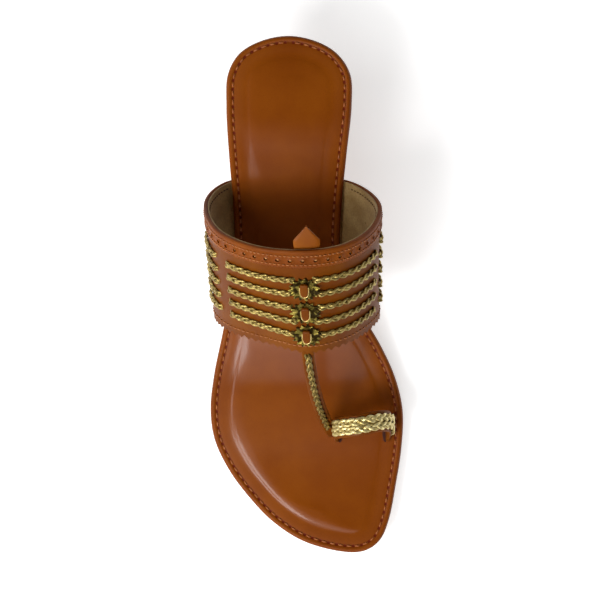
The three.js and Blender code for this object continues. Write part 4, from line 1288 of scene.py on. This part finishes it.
# %% Rosettes
ROSETTE_ROWS = [0.36, 0.588, 0.813]
ROSETTE_ACROSS, ROSETTE_ALONG, ROSETTE_POINTS, ROSETTE_NOTCH, ROSETTE_WALL = 6.4, 6.1, 15, 0.27, 0.4
ROSETTE_LIFT, ROSETTE_CUP, ROSETTE_RIPPLE, ROSETTE_DIP = 0.75, 1.4, 0.18, 0.2
KEEPER_ACROSS, KEEPER_ALONG, KEEPER_LOW, KEEPER_RISE = 1.6, 3.3, 1.0, 1.3
KEEPER_TOE_END, KEEPER_HEEL_END = 0.9, 0.4
KEEPER_STEPS = np.array([(1, 0), (1, 0.55), (0.97, 0.78), (0.88, 0.92), (0.7, 0.98), (0.35, 1), (0, 1)])
RIM_WIDE, RIM_HIGH, RIM_LIFT, RIM_ACROSS, RIM_ALONG = 0.3, 0.42, 0.7, 1.06, 1.03
RIM_BEARINGS = np.radians(np.linspace(-14, 194, 40))


def on_crown(share, across, along, lift):
    """A point over the crown near a share: across and along it in millimetres."""
    return on_band(across, share + along / BAND_LENGTH, lift)


def rosette(index, share):
    """A disc whose radius has a saw-tooth edge and whose flanks rise with the square of the way out."""
    angle = turns(ROSETTE_POINTS * 6)
    out = np.linspace(0, 1, 12)[:, None]
    edge = 1 - ROSETTE_NOTCH * (1 - zigzag(angle, 2 * np.pi / ROSETTE_POINTS)) * out**2
    across = ROSETTE_ACROSS * out * edge * np.cos(angle)
    along = ROSETTE_ALONG * out * edge * np.sin(angle)
    ripple = ROSETTE_RIPPLE * out**2 * np.sin(5 * angle + 1.3 * index)
    lift = ROSETTE_LIFT + ROSETTE_CUP * (across / ROSETTE_ACROSS) ** 2 + ripple - ROSETTE_DIP * (1 - out)
    disc = on_crown(share, across, along, lift)
    name, node = f"rosette_foil_{index}", f"rosette_{index}"
    add_piece(name, [disc], rosette_foil, [node], crease=60, wall=ROSETTE_WALL)


def keeper_outline(angle):
    """Across and along of a keeper's edge: a half round at the toe end, nearly square at the heel end."""
    power = np.where(np.sin(angle) > 0, KEEPER_TOE_END, KEEPER_HEEL_END)
    return KEEPER_ACROSS * bulge(np.cos(angle), power), KEEPER_ALONG * bulge(np.sin(angle), power)


def keeper(index, share):
    """A flat-topped pad: its outline drawn in by the steps of a rounded edge, and a flat underside."""
    across, along = keeper_outline(turns(48))
    scale, height = KEEPER_STEPS.T[..., None]
    top = on_crown(share, scale * across, scale * along, KEEPER_LOW + KEEPER_RISE * height)
    low = np.array([[0.0], [1.0]])
    grids = [top, on_crown(share, low * across, low * along, KEEPER_LOW)]
    add_piece(f"keeper_pad_{index}", grids, band_leather, [f"keeper_{index}"], crease=60)


def keeper_rim(index, share):
    """A thin gold tube round the toe end of a keeper, a little more than half of its outline."""
    across, along = keeper_outline(RIM_BEARINGS)
    path = on_crown(share, RIM_ACROSS * across, RIM_ALONG * along, KEEPER_LOW + RIM_LIFT)
    normal = band_frame(band_row(across), share + along / BAND_LENGTH)[2]
    side = unit(np.cross(normal, unit(np.gradient(path, axis=0))))
    angle = turns(8)[:-1]
    rings = tube(path, side, normal, RIM_WIDE * np.cos(angle), RIM_HIGH * np.sin(angle))
    add_piece(f"keeper_rim_{index}", [capped(rings)], rim_gold, crease=80, closed=True)


for index, share in enumerate(ROSETTE_ROWS, start=1):
    rosette(index, share)
    keeper(index, share)
    keeper_rim(index, share)
